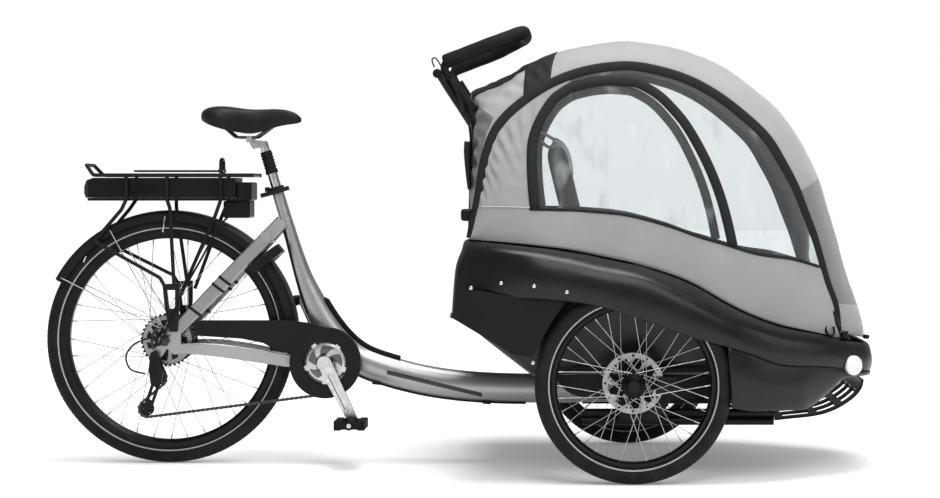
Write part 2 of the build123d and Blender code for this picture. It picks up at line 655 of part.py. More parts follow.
def ring_lock():
    """Horseshoe lock body that straddles the tyre ahead of the seat stays."""
    angle = 39.5
    centre_r = 330.0
    bow = Circle(62) - Circle(43)
    mouth = Pos(-50, 0) * Rectangle(100, 86)
    bow = bow - mouth
    legs = [Pos(-14, y) * Rectangle(36, 19) for y in (-52.5, 52.5)]
    outline = fuse([bow] + legs)
    body = extrude(outline, amount=13, both=True)
    keyhouse = Pos(42, -50, -3) * Box(46, 26, 24)
    body = fuse([body, keyhouse])
    tyre_gap = Box(90, 85.8, 60, align=(Align.MAX, Align.CENTER, Align.CENTER))
    body = body.cut(tyre_gap)
    body = Pos(REAR_AXLE[0], 0, REAR_AXLE[1]) * Rot(0, -angle, 0) * Pos(centre_r, 0, 0) * body
    write("ring_lock", body)


# Front module ----------------------------------------------------------------------

TUB_TOP = [(838, 612), (999, 597), (1100, 585), (1227, 560), (1318, 537), (1409, 503), (1486, 462),
           (1538, 433),
           (1593, 409), (1638, 392), (1689, 379), (1755, 365), (1823, 344), (1882, 338), (1905, 325)]
TUB_PLAN = [(800, 300), (1000, 345), (1500, 345), (1600, 322), (1700, 286), (1800, 234), (1870, 180),
            (1905, 115),
            (NOSE_X, 0)]
RIDGE_HALF = [(830, 345), (900, 395), (1000, 424), (1450, 426), (1560, 408), (1680, 350), (1780, 285),
              (1860, 205)]
RIDGE_Z = [(830, 600), (1001, 580), (1182, 543), (1292, 520), (1405, 467), (1550, 399), (1643, 372),
           (1750, 348),
           (1860, 326)]
LIP_Z = [(830, 520), (1000, 478), (1100, 468), (1179, 452), (1291, 418), (1401, 377), (1460, 357),
         (1514, 345)]
CHEEK_Z = [(1515, 196), (1720, 196), (1820, 246), (1860, 248)]
WELL_Z = 192.0


def tub_body(inset):
    """Solid of the inner tub, shrunk on all sides by inset."""
    top = [(x, z + (40 if inset else 0)) for x, z in TUB_TOP]
    under = [(NOSE_X - inset, 300), (NOSE_X - inset, 250 + inset), (1840 - inset, 256 + inset),
             (1720 - inset, WELL_Z + inset), (1524 + inset, WELL_Z + inset),
             (1500 + inset, FLOOR_Z + inset), (1007, FLOOR_Z + inset), (806 + inset, 409 + inset),
             (800 + inset, 420 + inset), (838 + inset, 600)]
    side = prism(top + under, -400, 400)
    half = [(x, max(y - inset, 0)) for x, y in TUB_PLAN]
    half[0] = (790 + inset, half[0][1])
    half[-1] = (NOSE_X - inset, 0)
    outline = [(790 + inset, 0)] + half + [(x, -y) for x, y in reversed(half[:-1])]
    plan = Pos(0, 0, 100) * extrude(make_face(Polyline(*outline, close=True)), amount=700)
    body = side & plan
    notches = []
    for sign in (-1, 1):
        low, high = sorted((sign * (285 - inset), sign * 400))
        notches.append(box(1080 - inset, 1450 + inset, low, high, 100, 380 + inset))
    return body.cut(*notches)


def shell_side(stations, lower_table):
    """One side's overhanging shoulder as a thin shell, lofted through cross-sections."""
    sections = []
    for x in stations:
        y_top = between(TUB_PLAN, x) - 2
        z_top = between(TUB_TOP, x)
        y_ridge = between(RIDGE_HALF, x)
        z_ridge = between(RIDGE_Z, x)
        y_out = y_ridge + 15
        z_low = between(lower_table, x)
        z_out = z_ridge - 0.35 * (z_ridge - z_low)
        outer = [(y_top, z_top), (y_ridge, z_ridge), (y_out, z_out), (y_out - 3, z_low)]
        inner = [(y_out - 7, z_low), (y_out - 4, z_out - 2), (y_ridge - 4, z_ridge - 5), (y_top, z_top - 5)]
        points = [(x, y, z) for y, z in outer + inner]
        sections.append(make_face(Polyline(*points, close=True)))
    return loft(sections, ruled=True)


def cabin_tub():
    shell = tub_body(0.0).cut(tub_body(TUB_WALL))
    shoulder = shell_side([832, 900, 1000, 1100, 1200, 1300, 1400, 1460, 1514], LIP_Z)
    cheek = shell_side([1514, 1560, 1610, 1653, 1720, 1780, 1860], CHEEK_Z)
    pieces = [shoulder, cheek, mirror(shoulder, about=Plane.XZ), mirror(cheek, about=Plane.XZ)]
    lamp_seat = lamp_disc(LAMP_R + PRESS, -60, 60)
    tub = fuse([shell] + pieces).cut(lamp_seat, mirror(lamp_seat, about=Plane.XZ))
    write("cabin_tub", max(tub.solids(), key=lambda solid: solid.volume))


def wheel_skirts():
    """Lower side panels behind the wheels, with a return to the tub."""
    outline = [(806, 424), (838, 496), (1000, 470), (1092, 462), (1060, 415), (1030, 365),
               (1011, 322), (960, 330)]
    panel = prism(outline, 424, 428)
    back = prism([(806, 424), (838, 496), (843, 496), (811, 422)], 346, 424.5)
    floor = prism([(808, 421), (811, 425), (961, 334), (960, 330)], 346, 424.5)
    panel = fuse([panel, back, floor])
    write("wheel_skirts", both(panel))


def skirt_screws():
    heads = []
    for x, z in ((862, 480), (935, 471), (1017, 460), (1075, 452), (1012, 345)):
        heads.append(disc((x, z), 428 + RUN, 431, 4.5))
    write("skirt_screws", both(group(heads)))


LAMP_R = 26.0
LAMP_PLACE = (1841.0, 243.0, 286.0)
LAMP_TURN = -30.0                    # degrees the lamp looks forward of square to the side


def lamp_disc(radius, back, front):
    """Left lamp's disc, measured along its own axis from its face's middle."""
    return Pos(*LAMP_PLACE) * Rot(0, 0, LAMP_TURN) * disc((0, 0), back, front, radius)


def side_lamps():
    lens = disc((0, 0), -20, 7, LAMP_R)
    lens = fillet(lens.edges().group_by(Axis.Y)[-1], 5)
    write("side_lamps", both(Pos(*LAMP_PLACE) * Rot(0, 0, LAMP_TURN) * lens))


def bumper():
    """Slotted step under the nose that curves up from the chassis rails."""
    half = 150
    sheet_thickness = 7
    outer = Spline((1645, 131), (1720, 139), (1780, 150), (1840, 180), (1876, 218), (1881, 240))
    inner = Spline((1881 - sheet_thickness, 240), (1869, 221), (1836, 186), (1778, 157), (1719, 146),
                   (1645, 138))
    edges = [outer, Line(outer @ 1, inner @ 0), inner, Line(inner @ 1, outer @ 0)]
    sheet = side_solid(make_face(edges), -half, half)
    slots = []
    for y in (-90, 0, 90):
        for x_low, x_high in ((1668, 1742), (1760, 1812)):
            slots.append(box(x_low, x_high, y - 34, y + 34, 100, 200))
        slots.append(box(1826, 1864, y - 34, y + 34, 150, 225))
    write("bumper", sheet.cut(*slots))


def chassis():
    parts = []
    for side in (-1, 1):
        for z in (142.5, 163.5):
            parts.append(rod((1132, side * 250, z), (1632, side * 250, z), 11))
        low, high = sorted((side * 296, side * 306))
        parts.append(prism([(1228, 150), (1236, 250), (1250, 276), (1290, 276), (1376, 262), (1376, 222),
                            (1330, 150)], low, high))
        low, high = sorted((side * 244, side * 300))
        parts.append(box(1228, 1330, low, high, 150, 160))
        low, high = sorted((side * 300, side * 448))
        parts.append(disc(FRONT_AXLE, low, high, 10))
        cap_low, cap_high = sorted((side * 441, side * 448))
        parts.append(disc(FRONT_AXLE, cap_low, cap_high, 15))
    parts.append(rod((1340, -250, 153), (1340, 250, 153), 16))
    parts.append(rod((1600, -250, 153), (1600, 250, 153), 11))
    parts.append(box(1228, 1345, -36, 36, 142, 158))
    parts.append(box(1228, 1345, -36, 36, 249.5, 258))
    parts.append(box(1306, 1345, -36, 36, 142, 258))
    parts.append(Pos(STEER_X, 0, 144) * Cylinder(12, 112, align=(Align.CENTER, Align.CENTER, Align.MIN)))
    write("chassis", fuse(parts))


def front_calipers():
    """Disc-brake calipers over the front of each rotor."""
    block = soft_box(1322, 1378, 340, 366, 222, 268, 5)
    rotor_y = TRACK_HALF - 48
    slot = box(1300, 1350, rotor_y - 2.5, rotor_y + 2.5, 200, 290)
    disc_room = disc(FRONT_AXLE, rotor_y - 2.5, rotor_y + 2.5, 80)
    knob = disc((1362, 244), 366, 372, 14)
    foot = box(1350, 1374, 306 + RUN, 345, 230, 255)
    piece = fuse([block, knob, foot]).cut(slot, disc_room)
    write("front_calipers", both(max(piece.solids(), key=lambda solid: solid.volume)))


BOW_HALF = 165
BOW_POINTS = [
    (866, -160, 640), (850, -160, 925), (790, -163, 1020), (760, -BOW_HALF, 1078), (900, -BOW_HALF, 1132),
    (975, -95, 1166), (975, 95, 1166), (900, BOW_HALF, 1132), (760, BOW_HALF, 1078), (790, 163, 1020),
    (850, 160, 925), (866, 160, 640),
]
BOW_BEND = 24
FOAM_R = 17.5


def handlebar_sweep(points, section):
    """Sweep a section along a run of the handlebar's bent line."""
    path = FilletPolyline(*points, radius=BOW_BEND)
    return sweep(Plane(origin=path @ 0, z_dir=path % 0) * section, path=path)


def handlebar():
    """Bow handlebar with its closed end forward and two risers into the cabin's back."""
    write("handlebar", handlebar_sweep(BOW_POINTS, Circle(11)))
    share = 0.16
    x, y, z = (a + (b - a) * share for a, b in zip(BOW_POINTS[3], BOW_POINTS[4]))
    grip = [(x, y, z)] + BOW_POINTS[4:8] + [(x, -y, z)]
    write("handlebar_foam", handlebar_sweep(grip, Circle(FOAM_R) - Circle(11.6)))


def bell():
    dome = Cylinder(12, 10) + Pos(0, 0, 6) * Cylinder(8, 6)
    write("bell", Pos(752, -BOW_HALF - 20, 1050) * Rot(90, 0, 0) * dome)


def brake_levers():
    for name, side in (("brake_lever_right", -1), ("brake_lever_left", 1)):
        y = side * (BOW_HALF + 22)
        blade = tube([(786, y, 1040), (806, y, 1000), (822, y, 950)], 5, 20)
        barrel = disc((786, 1040), y - 6, y + 6, 7.5, 3)
        write(name, fuse([blade, barrel]).cut(disc((786, 1040), y - 8, y + 8, 3)))


# Seat and hood ----------------------------------------------------------------------

def seat():
    write("seat_cushion", soft_box(1120, 1430, -215, 215, 470, 530, 18))
    back = prism([(1040, 878), (1086, 872), (1150, 560), (1112, 548)], -190, 190)
    write("seat_back", fillet(back.edges(), 10))


HOOD_LINE = [(829, 618), (829, 997), (836, 1008), (939, 1041), (964, 1074), (1071, 1118),
             (1129, 1132), (1236, 1147),
             (1307, 1142), (1378, 1131), (1448, 1107), (1519, 1074), (1589, 1025), (1660, 964), (1725, 879),
             (1773, 780), (1801, 686), (1825, 601), (1848, 522), (1876, 442), (1898, 372), (1900, 345)]
HOOD_FRONT = [(0, 345), (640, 345), (697, 335), (810, 305), (897, 280), (945, 262), (989, 245), (1030, 230),
              (1072, 214), (1100, 190), (1128, 140), (1147, 0)]
OUTER_HOOP = [(847, 300, 622), (862, 292, 691), (871, 284, 761), (884, 276, 831), (900, 268, 878),
              (928, 258, 925),
              (978, 243, 972), (1044, 228, 1018), (1118, 218, 1048), (1191, 212, 1064), (1246, 210, 1069),
              (1301, 211, 1064), (1374, 215, 1044), (1447, 220, 1014), (1512, 226, 973), (1584, 233, 910),
              (1635, 240, 847), (1669, 245, 785), (1698, 249, 722), (1722, 250, 660), (1744, 246, 597),
              (1760, 236, 534), (1779, 222, 471), (1797, 206, 400)]
INNER_HOOP = [(1016, 335, 699), (1004, 315, 794), (1005, 300, 854), (1016, 285, 901), (1045, 262, 958),
              (1081, 248, 996), (1154, 236, 1025), (1206, 230, 1029), (1264, 230, 1023), (1300, 232, 1009),
              (1352, 242, 972), (1405, 258, 909), (1440, 275, 847), (1469, 292, 784), (1491, 308, 722),
              (1507, 322, 661), (1517, 332, 612)]
WINDOW = [(1004, 698), (1004, 810), (1008, 880), (1030, 945), (1066, 992), (1120, 1035), (1191, 1050),
          (1246, 1055),
          (1301, 1050), (1370, 1030), (1440, 1000), (1504, 958), (1574, 896), (1624, 835), (1657, 775),
          (1685, 715), (1709, 655), (1736, 552), (1673, 564), (1624, 572), (1550, 590), (1477, 614),
          (1404, 634),
          (1333, 656), (1261, 671), (1154, 688), (1046, 698)]


def hood_solid(inset):
    """Hood volume, shrunk by inset, from its side, front and plan outlines."""
    centre = (1300, 800)
    line = []
    for x, z in HOOD_LINE:
        dist = hypot(x - centre[0], z - centre[1])
        share = 1 - inset / dist
        line.append((centre[0] + (x - centre[0]) * share, centre[1] + (z - centre[1]) * share))
    lower = [(x, z + 6) for x, z in reversed(TUB_TOP[1:-1])]
    side = prism(line + lower, -400, 400)
    half = [(y - inset if y else 0, z - (inset if z > 0 else 0)) for z, y in HOOD_FRONT]
    outline = half + [(-y, z) for y, z in reversed(half[:-1])]
    front = extrude(Plane.YZ.offset(700) * make_face(Polyline(*outline, close=True)), amount=1300)
    plan_half = [(x, max(y - inset, 0)) for x, y in TUB_PLAN]
    plan_outline = [(700, 0), (700, 345 - inset)] + plan_half[1:]
    plan_outline = plan_outline + [(x, -y) for x, y in reversed(plan_outline[1:-1])]
    plan = Pos(0, 0, 100) * extrude(make_face(Polyline(*plan_outline, close=True)), amount=1300)
    return side & front & plan


def hood():
    sheet = 3.0
    outer = hood_solid(0.0)
    inner = hood_solid(sheet)
    shell = outer.cut(inner)
    window_zone = prism(WINDOW, -400, 400)
    windows = shell & window_zone
    fabric = shell.cut(window_zone, handlebar_sweep(BOW_POINTS, Circle(15)))
    keep = [solid for solid in windows.solids() if solid.volume > 2000]
    write("hood_windows", group([Compound(children=keep)]))
    write("hood_fabric", max(fabric.solids(), key=lambda solid: solid.volume))
    room = hood_solid(sheet + 1.0)
    inward = 17
    rods = []
    for hoop in (OUTER_HOOP, INNER_HOOP):
        path = Spline(*[(x, y - inward, z) for x, y, z in hoop])
        bent = sweep(Plane(origin=path @ 0, z_dir=path % 0) * Circle(4.5), path=path) & room
        rods.append(max(bent.solids(), key=lambda solid: solid.volume))
    write("hood_hoops", both(group(rods)))


def main():
    rear_wheel()
    front_wheel("right", -1)
    front_wheel("left", 1)
    main_frame()
    headset_bearings()
    rear_axle()
    rear_fender()
    fender_stays()
    drive_chain()
    cassette()
    derailleur()
    cranks()
    chain_case()
    seat_parts()
    saddle()
    rear_rack()
    battery_parts()
    ring_lock()
    cabin_tub()
    wheel_skirts()
    skirt_screws()
    side_lamps()
    bumper()
    chassis()
    front_calipers()
    handlebar()
    bell()
    brake_levers()
    seat()
    hood()


main()
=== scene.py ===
import json
from math import acos, atan2, ceil, cos, floor, hypot, pi, radians, sin, sqrt

import bmesh
import bpy
from mathutils import Matrix, Vector, noise
from mathutils.bvhtree import BVHTree


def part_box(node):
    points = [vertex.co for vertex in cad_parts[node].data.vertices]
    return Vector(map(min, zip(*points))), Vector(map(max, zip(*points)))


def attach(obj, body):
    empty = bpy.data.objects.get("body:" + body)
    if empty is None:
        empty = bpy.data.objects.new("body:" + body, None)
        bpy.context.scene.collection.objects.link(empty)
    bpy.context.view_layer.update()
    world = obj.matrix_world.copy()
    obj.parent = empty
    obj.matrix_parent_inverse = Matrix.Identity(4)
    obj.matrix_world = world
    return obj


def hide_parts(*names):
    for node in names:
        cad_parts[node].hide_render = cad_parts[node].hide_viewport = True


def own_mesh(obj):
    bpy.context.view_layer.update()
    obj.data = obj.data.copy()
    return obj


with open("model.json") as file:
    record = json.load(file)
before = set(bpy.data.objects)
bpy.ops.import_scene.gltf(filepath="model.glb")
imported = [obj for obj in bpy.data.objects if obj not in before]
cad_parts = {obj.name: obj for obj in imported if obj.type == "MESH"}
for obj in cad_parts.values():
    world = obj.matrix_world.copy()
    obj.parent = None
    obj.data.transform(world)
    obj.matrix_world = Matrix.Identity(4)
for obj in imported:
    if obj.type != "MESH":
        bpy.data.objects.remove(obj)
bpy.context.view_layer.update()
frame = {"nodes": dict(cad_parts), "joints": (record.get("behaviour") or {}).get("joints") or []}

# The looks of the cargo tricycle.  Outlines are written in the CAD's own millimetre
# stations, (station, side, height), and point() turns them into the frame's metres.

nodes = frame["nodes"]
joints = {joint["name"]: joint for joint in frame["joints"]}
MIDDLE_STATION = 794.0


def point(station, side, height):
    """A place in the frame, in metres, from millimetre stations."""
    return Vector((station - MIDDLE_STATION, side, height)) / 1000


def pivot(joint):
    """A joint's place, in metres."""
    return Vector(joints[joint]["pos_m"])


# Materials ---------------------------------------------------------------------------

class Shader:
    """A node material under construction, with short helpers for its common parts."""

    def __init__(self, name, color, rough, metal=0.0):
        self.material = bpy.data.materials.new(name)
        self.material.use_nodes = True
        self.material.diffuse_color = (*color, 1)
        self.tree = self.material.node_tree
        self.bsdf = self.tree.nodes["Principled BSDF"]
        self.bsdf.inputs["Base Color"].default_value = (*color, 1)
        self.bsdf.inputs["Roughness"].default_value = rough
        self.bsdf.inputs["Metallic"].default_value = metal
        self.color = color
        self.rough = rough
        self.bump_link = None
        self.place = self.node("ShaderNodeTexCoord").outputs["Object"]

    def node(self, kind, **settings):
        made = self.tree.nodes.new(kind)
        for key, value in settings.items():
            setattr(made, key, value)
        return made

    def link(self, start, end):
        self.tree.links.new(start, end)

    def set(self, **values):
        for key, value in values.items():
            self.bsdf.inputs[key.replace("_", " ")].default_value = value
        return self

    def noise(self, scale, detail=3.0, stretch=None):
        made = self.node("ShaderNodeTexNoise")
        made.inputs["Scale"].default_value = scale
        made.inputs["Detail"].default_value = detail
        source = self.place
        if stretch:
            mapping = self.node("ShaderNodeMapping")
            mapping.inputs["Scale"].default_value = stretch
            self.link(source, mapping.inputs["Vector"])
            source = mapping.outputs["Vector"]
        self.link(source, made.inputs["Vector"])
        return made.outputs["Fac"]

    def math(self, operation, first, second=0.0, clamp=False):
        made = self.node("ShaderNodeMath", operation=operation, use_clamp=clamp)
        for slot, value in ((0, first), (1, second)):
            if isinstance(value, (int, float)):
                made.inputs[slot].default_value = value
            else:
                self.link(value, made.inputs[slot])
        return made.outputs[0]

    def span(self, value, low, high, to_low=0.0, to_high=1.0):
        made = self.node("ShaderNodeMapRange")
        for slot, number in (("From Min", low), ("From Max", high), ("To Min", to_low),
        ("To Max", to_high)):
            made.inputs[slot].default_value = number
        self.link(value, made.inputs["Value"])
        return made.outputs["Result"]

    def mix(self, factor, first, second):
        made = self.node("ShaderNodeMix", data_type="RGBA")
        for slot, value in ((6, first), (7, second)):
            if isinstance(value, tuple):
                made.inputs[slot].default_value = (*value, 1)
            else:
                self.link(value, made.inputs[slot])
        if isinstance(factor, (int, float)):
            made.inputs[0].default_value = factor
        else:
            self.link(factor, made.inputs[0])
        return made.outputs[2]

    def paint(self, color_output):
        self.link(color_output, self.bsdf.inputs["Base Color"])

    def vary(self, scale, amount):
        """Light and dark patches in the base colour."""
        dark = tuple(c * (1 - amount) for c in self.color)
        light = tuple(min(c * (1 + amount), 1) for c in self.color)
        out = self.mix(self.span(self.noise(scale), 0.3, 0.7), dark, light)
        self.paint(out)
        return out

    def roughen(self, scale, amount):
        """Handling marks: roughness that wanders."""
        out = self.span(self.noise(scale, 5.0), 0.25, 0.75, self.rough - amount, self.rough + amount)
        self.link(out, self.bsdf.inputs["Roughness"])

    def bump(self, height, strength, distance):
        made = self.node("ShaderNodeBump")
        made.inputs["Strength"].default_value = strength
        made.inputs["Distance"].default_value = distance
        self.link(height, made.inputs["Height"])
        if self.bump_link:
            self.link(self.bump_link, made.inputs["Normal"])
        self.bump_link = made.outputs["Normal"]
        self.link(self.bump_link, self.bsdf.inputs["Normal"])

    def wave(self, axis, scale):
        made = self.node("ShaderNodeTexWave", bands_direction=axis)
        made.inputs["Scale"].default_value = scale
        self.link(self.place, made.inputs["Vector"])
        return made.outputs["Fac"]

    def weave(self, pitch, strength, first="X", second="Z"):
        """Crossed threads at the given pitch in metres."""
        scale = 0.314 / pitch
        height = self.math("MULTIPLY", self.wave(first, scale), self.wave(second, scale))
        self.bump(height, strength, pitch * 0.4)
        return height

    def axis(self, name):
        """One coordinate of the object's own space."""
        made = self.node("ShaderNodeSeparateXYZ")
        self.link(self.place, made.inputs[0])
        return made.outputs[name]

    def radius(self, centre):
        """Distance from a wheel's axle."""
        x = self.math("SUBTRACT", self.axis("X"), centre.x)
        z = self.math("SUBTRACT", self.axis("Z"), centre.z)
        total = self.math("ADD", self.math("MULTIPLY", x, x), self.math("MULTIPLY", z, z))
        return self.math("SQRT", total)


def moulded(name, color, rough, grain=0.0016, strength=0.25, shine=0.12):
    """Injection-moulded or rotomoulded plastic with a fine pebble grain."""
    shader = Shader(name, color, rough)
    shader.vary(9, 0.18)
    shader.roughen(22, 0.06)
    shader.bump(shader.noise(1 / grain, 2.0), strength, grain * 0.25)
    shader.set(Specular_IOR_Level=shine)
    return shader.material


def powder_coat(name, color, rough):
    """Powder-coated tube: slight orange peel and worn shine."""
    shader = Shader(name, color, rough)
    shader.vary(14, 0.2)
    shader.roughen(35, 0.07)
    shader.bump(shader.noise(700, 1.0), 0.12, 0.0003)
    shader.set(Specular_IOR_Level=0.15)
    return shader.material


def metal(name, color, rough, stretch=(400, 400, 400)):
    """Bare metal with machining or polishing marks."""
    shader = Shader(name, color, rough, 1.0)
    shader.vary(60, 0.1)
    shader.roughen(90, min(rough * 0.4, 0.1))
    shader.bump(shader.noise(1.0, 2.0, stretch), 0.08, 0.0002)
    return shader.material


def rubber(name, color, rough=0.72):
    shader = Shader(name, color, rough)
    shader.vary(30, 0.25)
    shader.roughen(40, 0.08)
    shader.bump(shader.noise(1400, 2.0), 0.3, 0.0003)
    shader.set(Specular_IOR_Level=0.12)
    return shader.material


def tyre_rubber(name, centre, stripe_r, stripe_width):
    """Side walls with moulded rings and a reflective ring round the whole tyre."""
    shader = Shader(name, (0.008, 0.008, 0.009), 0.62)
    radius = shader.radius(centre)
    offset = shader.math("ABSOLUTE", shader.math("SUBTRACT", radius, stripe_r))
    stripe = shader.math("LESS_THAN", offset, stripe_width / 2)
    dust = shader.span(shader.noise(26), 0.3, 0.75)
    dusty = shader.mix(dust, (0.006, 0.006, 0.0065), (0.014, 0.014, 0.015))
    shader.paint(shader.mix(stripe, dusty, (0.3, 0.31, 0.31)))
    shader.set(Specular_IOR_Level=0.12)
    smoother = shader.math("SUBTRACT", 0.66, shader.math("MULTIPLY", stripe, 0.3))
    shader.link(smoother, shader.bsdf.inputs["Roughness"])
    rings = shader.math("SINE", shader.math("MULTIPLY", radius, 2 * pi / 0.0021))
    shader.bump(rings, 0.25, 0.0003)
    shader.bump(shader.noise(1100, 2.0), 0.25, 0.0003)
    return shader.material


def cloth(name, color, pitch, rough=0.85, sheen=0.25, first="X", second="Z", patch=0.05):
    """Woven cloth: threads, slight colour drift and soft sheen."""
    shader = Shader(name, color, rough)
    height = shader.weave(pitch, 0.5, first, second)
    drift = shader.span(shader.noise(7, 4.0), 0.3, 0.7)
    low = tuple(c * (1 - patch) for c in color)
    high = tuple(c * (1 + patch) for c in color)
    thread = shader.span(height, 0.0, 1.0, 0.9, 1.04)
    base = shader.mix(drift, low, high)
    tint = shader.node("ShaderNodeHueSaturation")
    shader.link(base, tint.inputs["Color"])
    shader.link(thread, tint.inputs["Value"])
    shader.paint(tint.outputs["Color"])
    shader.roughen(50, 0.05)
    shader.set(Sheen_Weight=sheen, Sheen_Roughness=0.4, Specular_IOR_Level=0.2)
    return shader.material


def clear_sheet(name):
    """Clear flexible sheet: see-through, with soft wavy reflections and milky creases."""
    shader = Shader(name, (0.9, 0.92, 0.93), 0.09)
    tree = shader.tree
    ripple = shader.noise(11, 2.0, (1, 1, 0.6))
    shader.bump(ripple, 0.5, 0.012)
    shader.bump(shader.noise(60, 3.0), 0.12, 0.002)
    clear = shader.node("ShaderNodeBsdfTransparent")
    clear.inputs["Color"].default_value = (0.93, 0.945, 0.95, 1)
    fresnel = shader.node("ShaderNodeFresnel")
    fresnel.inputs["IOR"].default_value = 1.42
    shader.link(shader.bump_link, fresnel.inputs["Normal"])
    crease = shader.span(shader.noise(16, 6.0, (1, 1, 0.35)), 0.58, 0.78, 0.0, 0.16)
    amount = shader.math("ADD", fresnel.outputs[0], crease, clamp=True)
    blend_node = shader.node("ShaderNodeMixShader")
    shader.link(amount, blend_node.inputs[0])
    shader.link(clear.outputs[0], blend_node.inputs[1])
    shader.link(shader.bsdf.outputs[0], blend_node.inputs[2])
    shader.link(blend_node.outputs[0], tree.nodes["Material Output"].inputs["Surface"])
    return shader.material


def ringed_metal(name, centre, low, high, arms, inside_color, outside_color):
    """Metal whose tone changes between two radii of a wheel: a rotor or an outer sprocket."""
    shader = Shader(name, outside_color, 0.36, 1.0)
    radius = shader.radius(centre)
    beyond = shader.math("GREATER_THAN", radius, low)
    within = shader.math("LESS_THAN", radius, high)
    ring = shader.math("MULTIPLY", beyond, within)
    x = shader.math("SUBTRACT", shader.axis("X"), centre.x)
    z = shader.math("SUBTRACT", shader.axis("Z"), centre.z)
    turn = shader.math("MULTIPLY", shader.math("ARCTAN2", z, x), arms)
    swirl = shader.math("SINE", shader.math("ADD", turn, shader.math("MULTIPLY", radius, 90.0)))
    rim_ring = shader.math("GREATER_THAN", radius, low + (high - low) * 0.7)
    solid = shader.math("MAXIMUM", rim_ring, shader.math("GREATER_THAN", swirl, 0.35))
    ring = shader.math("MULTIPLY", ring, solid)
    shader.paint(shader.mix(ring, outside_color, inside_color))
    shader.roughen(90, 0.08)
    shader.bump(shader.math("SINE", shader.math("MULTIPLY", radius, 2 * pi / 0.0012)), 0.1, 0.0001)
    return shader.material


def silver_paint_with_painted_shade(name, color):
    """The frame's silver paint with a fine random flake, and painted shade: one dark stripe along the top
    of the beam.
    """
    shader = Shader(name, color, 0.36, 0.75)
    # Painted shade: a dark band 12 mm tall along the top of the beam, from station 603 to 861.
    start = point(603, 0, 248)
    end = point(861, 0, 186)
    slope = (end.z - start.z) / (end.x - start.x)
    x = shader.math("SUBTRACT", shader.axis("X"), start.x)
    z = shader.math("SUBTRACT", shader.axis("Z"), start.z)
    across = shader.math("ABSOLUTE", shader.math("SUBTRACT", z, shader.math("MULTIPLY", x, slope)))
    in_painted_shade_band = shader.math("LESS_THAN", across, 0.006)
    after = shader.math("GREATER_THAN", x, 0.0)
    before = shader.math("LESS_THAN", x, end.x - start.x)
    stripe = shader.math("MULTIPLY", in_painted_shade_band, shader.math("MULTIPLY", after, before))
    flake = shader.span(shader.noise(2600, 1.0), 0.35, 0.65)
    light = tuple(min(c * 1.15, 1) for c in color)
    dark = tuple(c * 0.88 for c in color)
    shader.paint(shader.mix(stripe, shader.mix(flake, dark, light), (0.02, 0.02, 0.021)))
    shader.roughen(18, 0.04)
    shader.bump(shader.noise(900, 1.0), 0.05, 0.0002)
    shader.set(Coat_Weight=0.4, Coat_Roughness=0.15)
    return shader.material


def lamp_lens(name):
    shader = Shader(name, (0.62, 0.63, 0.64), 0.18)
    rings = shader.math("SINE", shader.math("MULTIPLY", shader.radius(point(1841, 0, 286)), 2 * pi / 0.004))
    shader.bump(rings, 0.4, 0.0006)
    shader.vary(80, 0.06)
    shader.set(Coat_Weight=1.0, Coat_Roughness=0.05)
    return shader.material


REAR_HUB = pivot("rear_wheel_spin")
FRONT_HUB = pivot("front_right_wheel_spin")

paint_silver = silver_paint_with_painted_shade("silver_paint", (0.3, 0.305, 0.31))
tub_plastic = moulded("tub_plastic", (0.004, 0.004, 0.0043), 0.3, strength=0.15, shine=0.27)
skirt_plastic = moulded("skirt_plastic", (0.007, 0.0072, 0.007), 0.5)
case_plastic = moulded("case_plastic", (0.008, 0.008, 0.0085), 0.38, 0.0009)
battery_plastic = moulded("battery_plastic", (0.006, 0.006, 0.0065), 0.36, 0.0011)
black_coat = powder_coat("black_coat", (0.007, 0.007, 0.0075), 0.4)
black_anodised = metal("black_anodised", (0.02, 0.02, 0.021), 0.4)
polished_alloy = metal("polished_alloy", (0.5, 0.5, 0.51), 0.25)
spoke_steel = metal("spoke_steel", (0.4, 0.4, 0.41), 0.3)
CRANK_AXLE = pivot("crank_spin")
light_steel = (0.3, 0.3, 0.3)
dark_steel = (0.02, 0.02, 0.02)
gap_black = (0.01, 0.01, 0.01)
sprocket_steel = ringed_metal("sprocket_steel", REAR_HUB, 0.030, 0.066, 11.0, light_steel, dark_steel)
ring_steel = ringed_metal("ring_steel", CRANK_AXLE, 0.018, 0.058, 5.0, (0.5, 0.5, 0.5), (0.12, 0.12, 0.12))
rotor_steel = ringed_metal("rotor_steel", FRONT_HUB, 0.030, 0.079, 9.0, (0.34, 0.34, 0.35), gap_black)
chain_steel = metal("chain_steel", (0.06, 0.058, 0.055), 0.42)
axle_steel = metal("axle_steel", (0.06, 0.06, 0.06), 0.4)
black_rubber = rubber("black_rubber", (0.007, 0.007, 0.0075))
foam_rubber = rubber("foam_rubber", (0.008, 0.008, 0.0085), 0.8)
cable_black = rubber("cable_black", (0.006, 0.006, 0.0065), 0.45)
hood_cloth = cloth("hood_cloth", (0.27, 0.273, 0.276), 0.0011)
apron_cloth = cloth("apron_cloth", (0.155, 0.156, 0.158), 0.0011)
# Darker copy of the hood cloth: painted shade for the back of the hood, which faces away from the light.
back_painted_shade_cloth = cloth("back_painted_shade_cloth", (0.12, 0.12, 0.122), 0.0013)
binding = cloth("binding_web", (0.008, 0.008, 0.0085), 0.0016, 0.7, 0.0)
piping_white = cloth("piping_white", (0.42, 0.42, 0.42), 0.0012)
seat_cloth = cloth("seat_cloth", (0.016, 0.017, 0.019), 0.0016, 0.9, 0.1)
seat_light = cloth("seat_light", (0.42, 0.43, 0.45), 0.0016, 0.9, 0.3)
window_clear = clear_sheet("window_clear")
lens_white = lamp_lens("lens_white")
saddle_skin = moulded("saddle_skin", (0.008, 0.008, 0.0085), 0.45, 0.0022, 0.4)

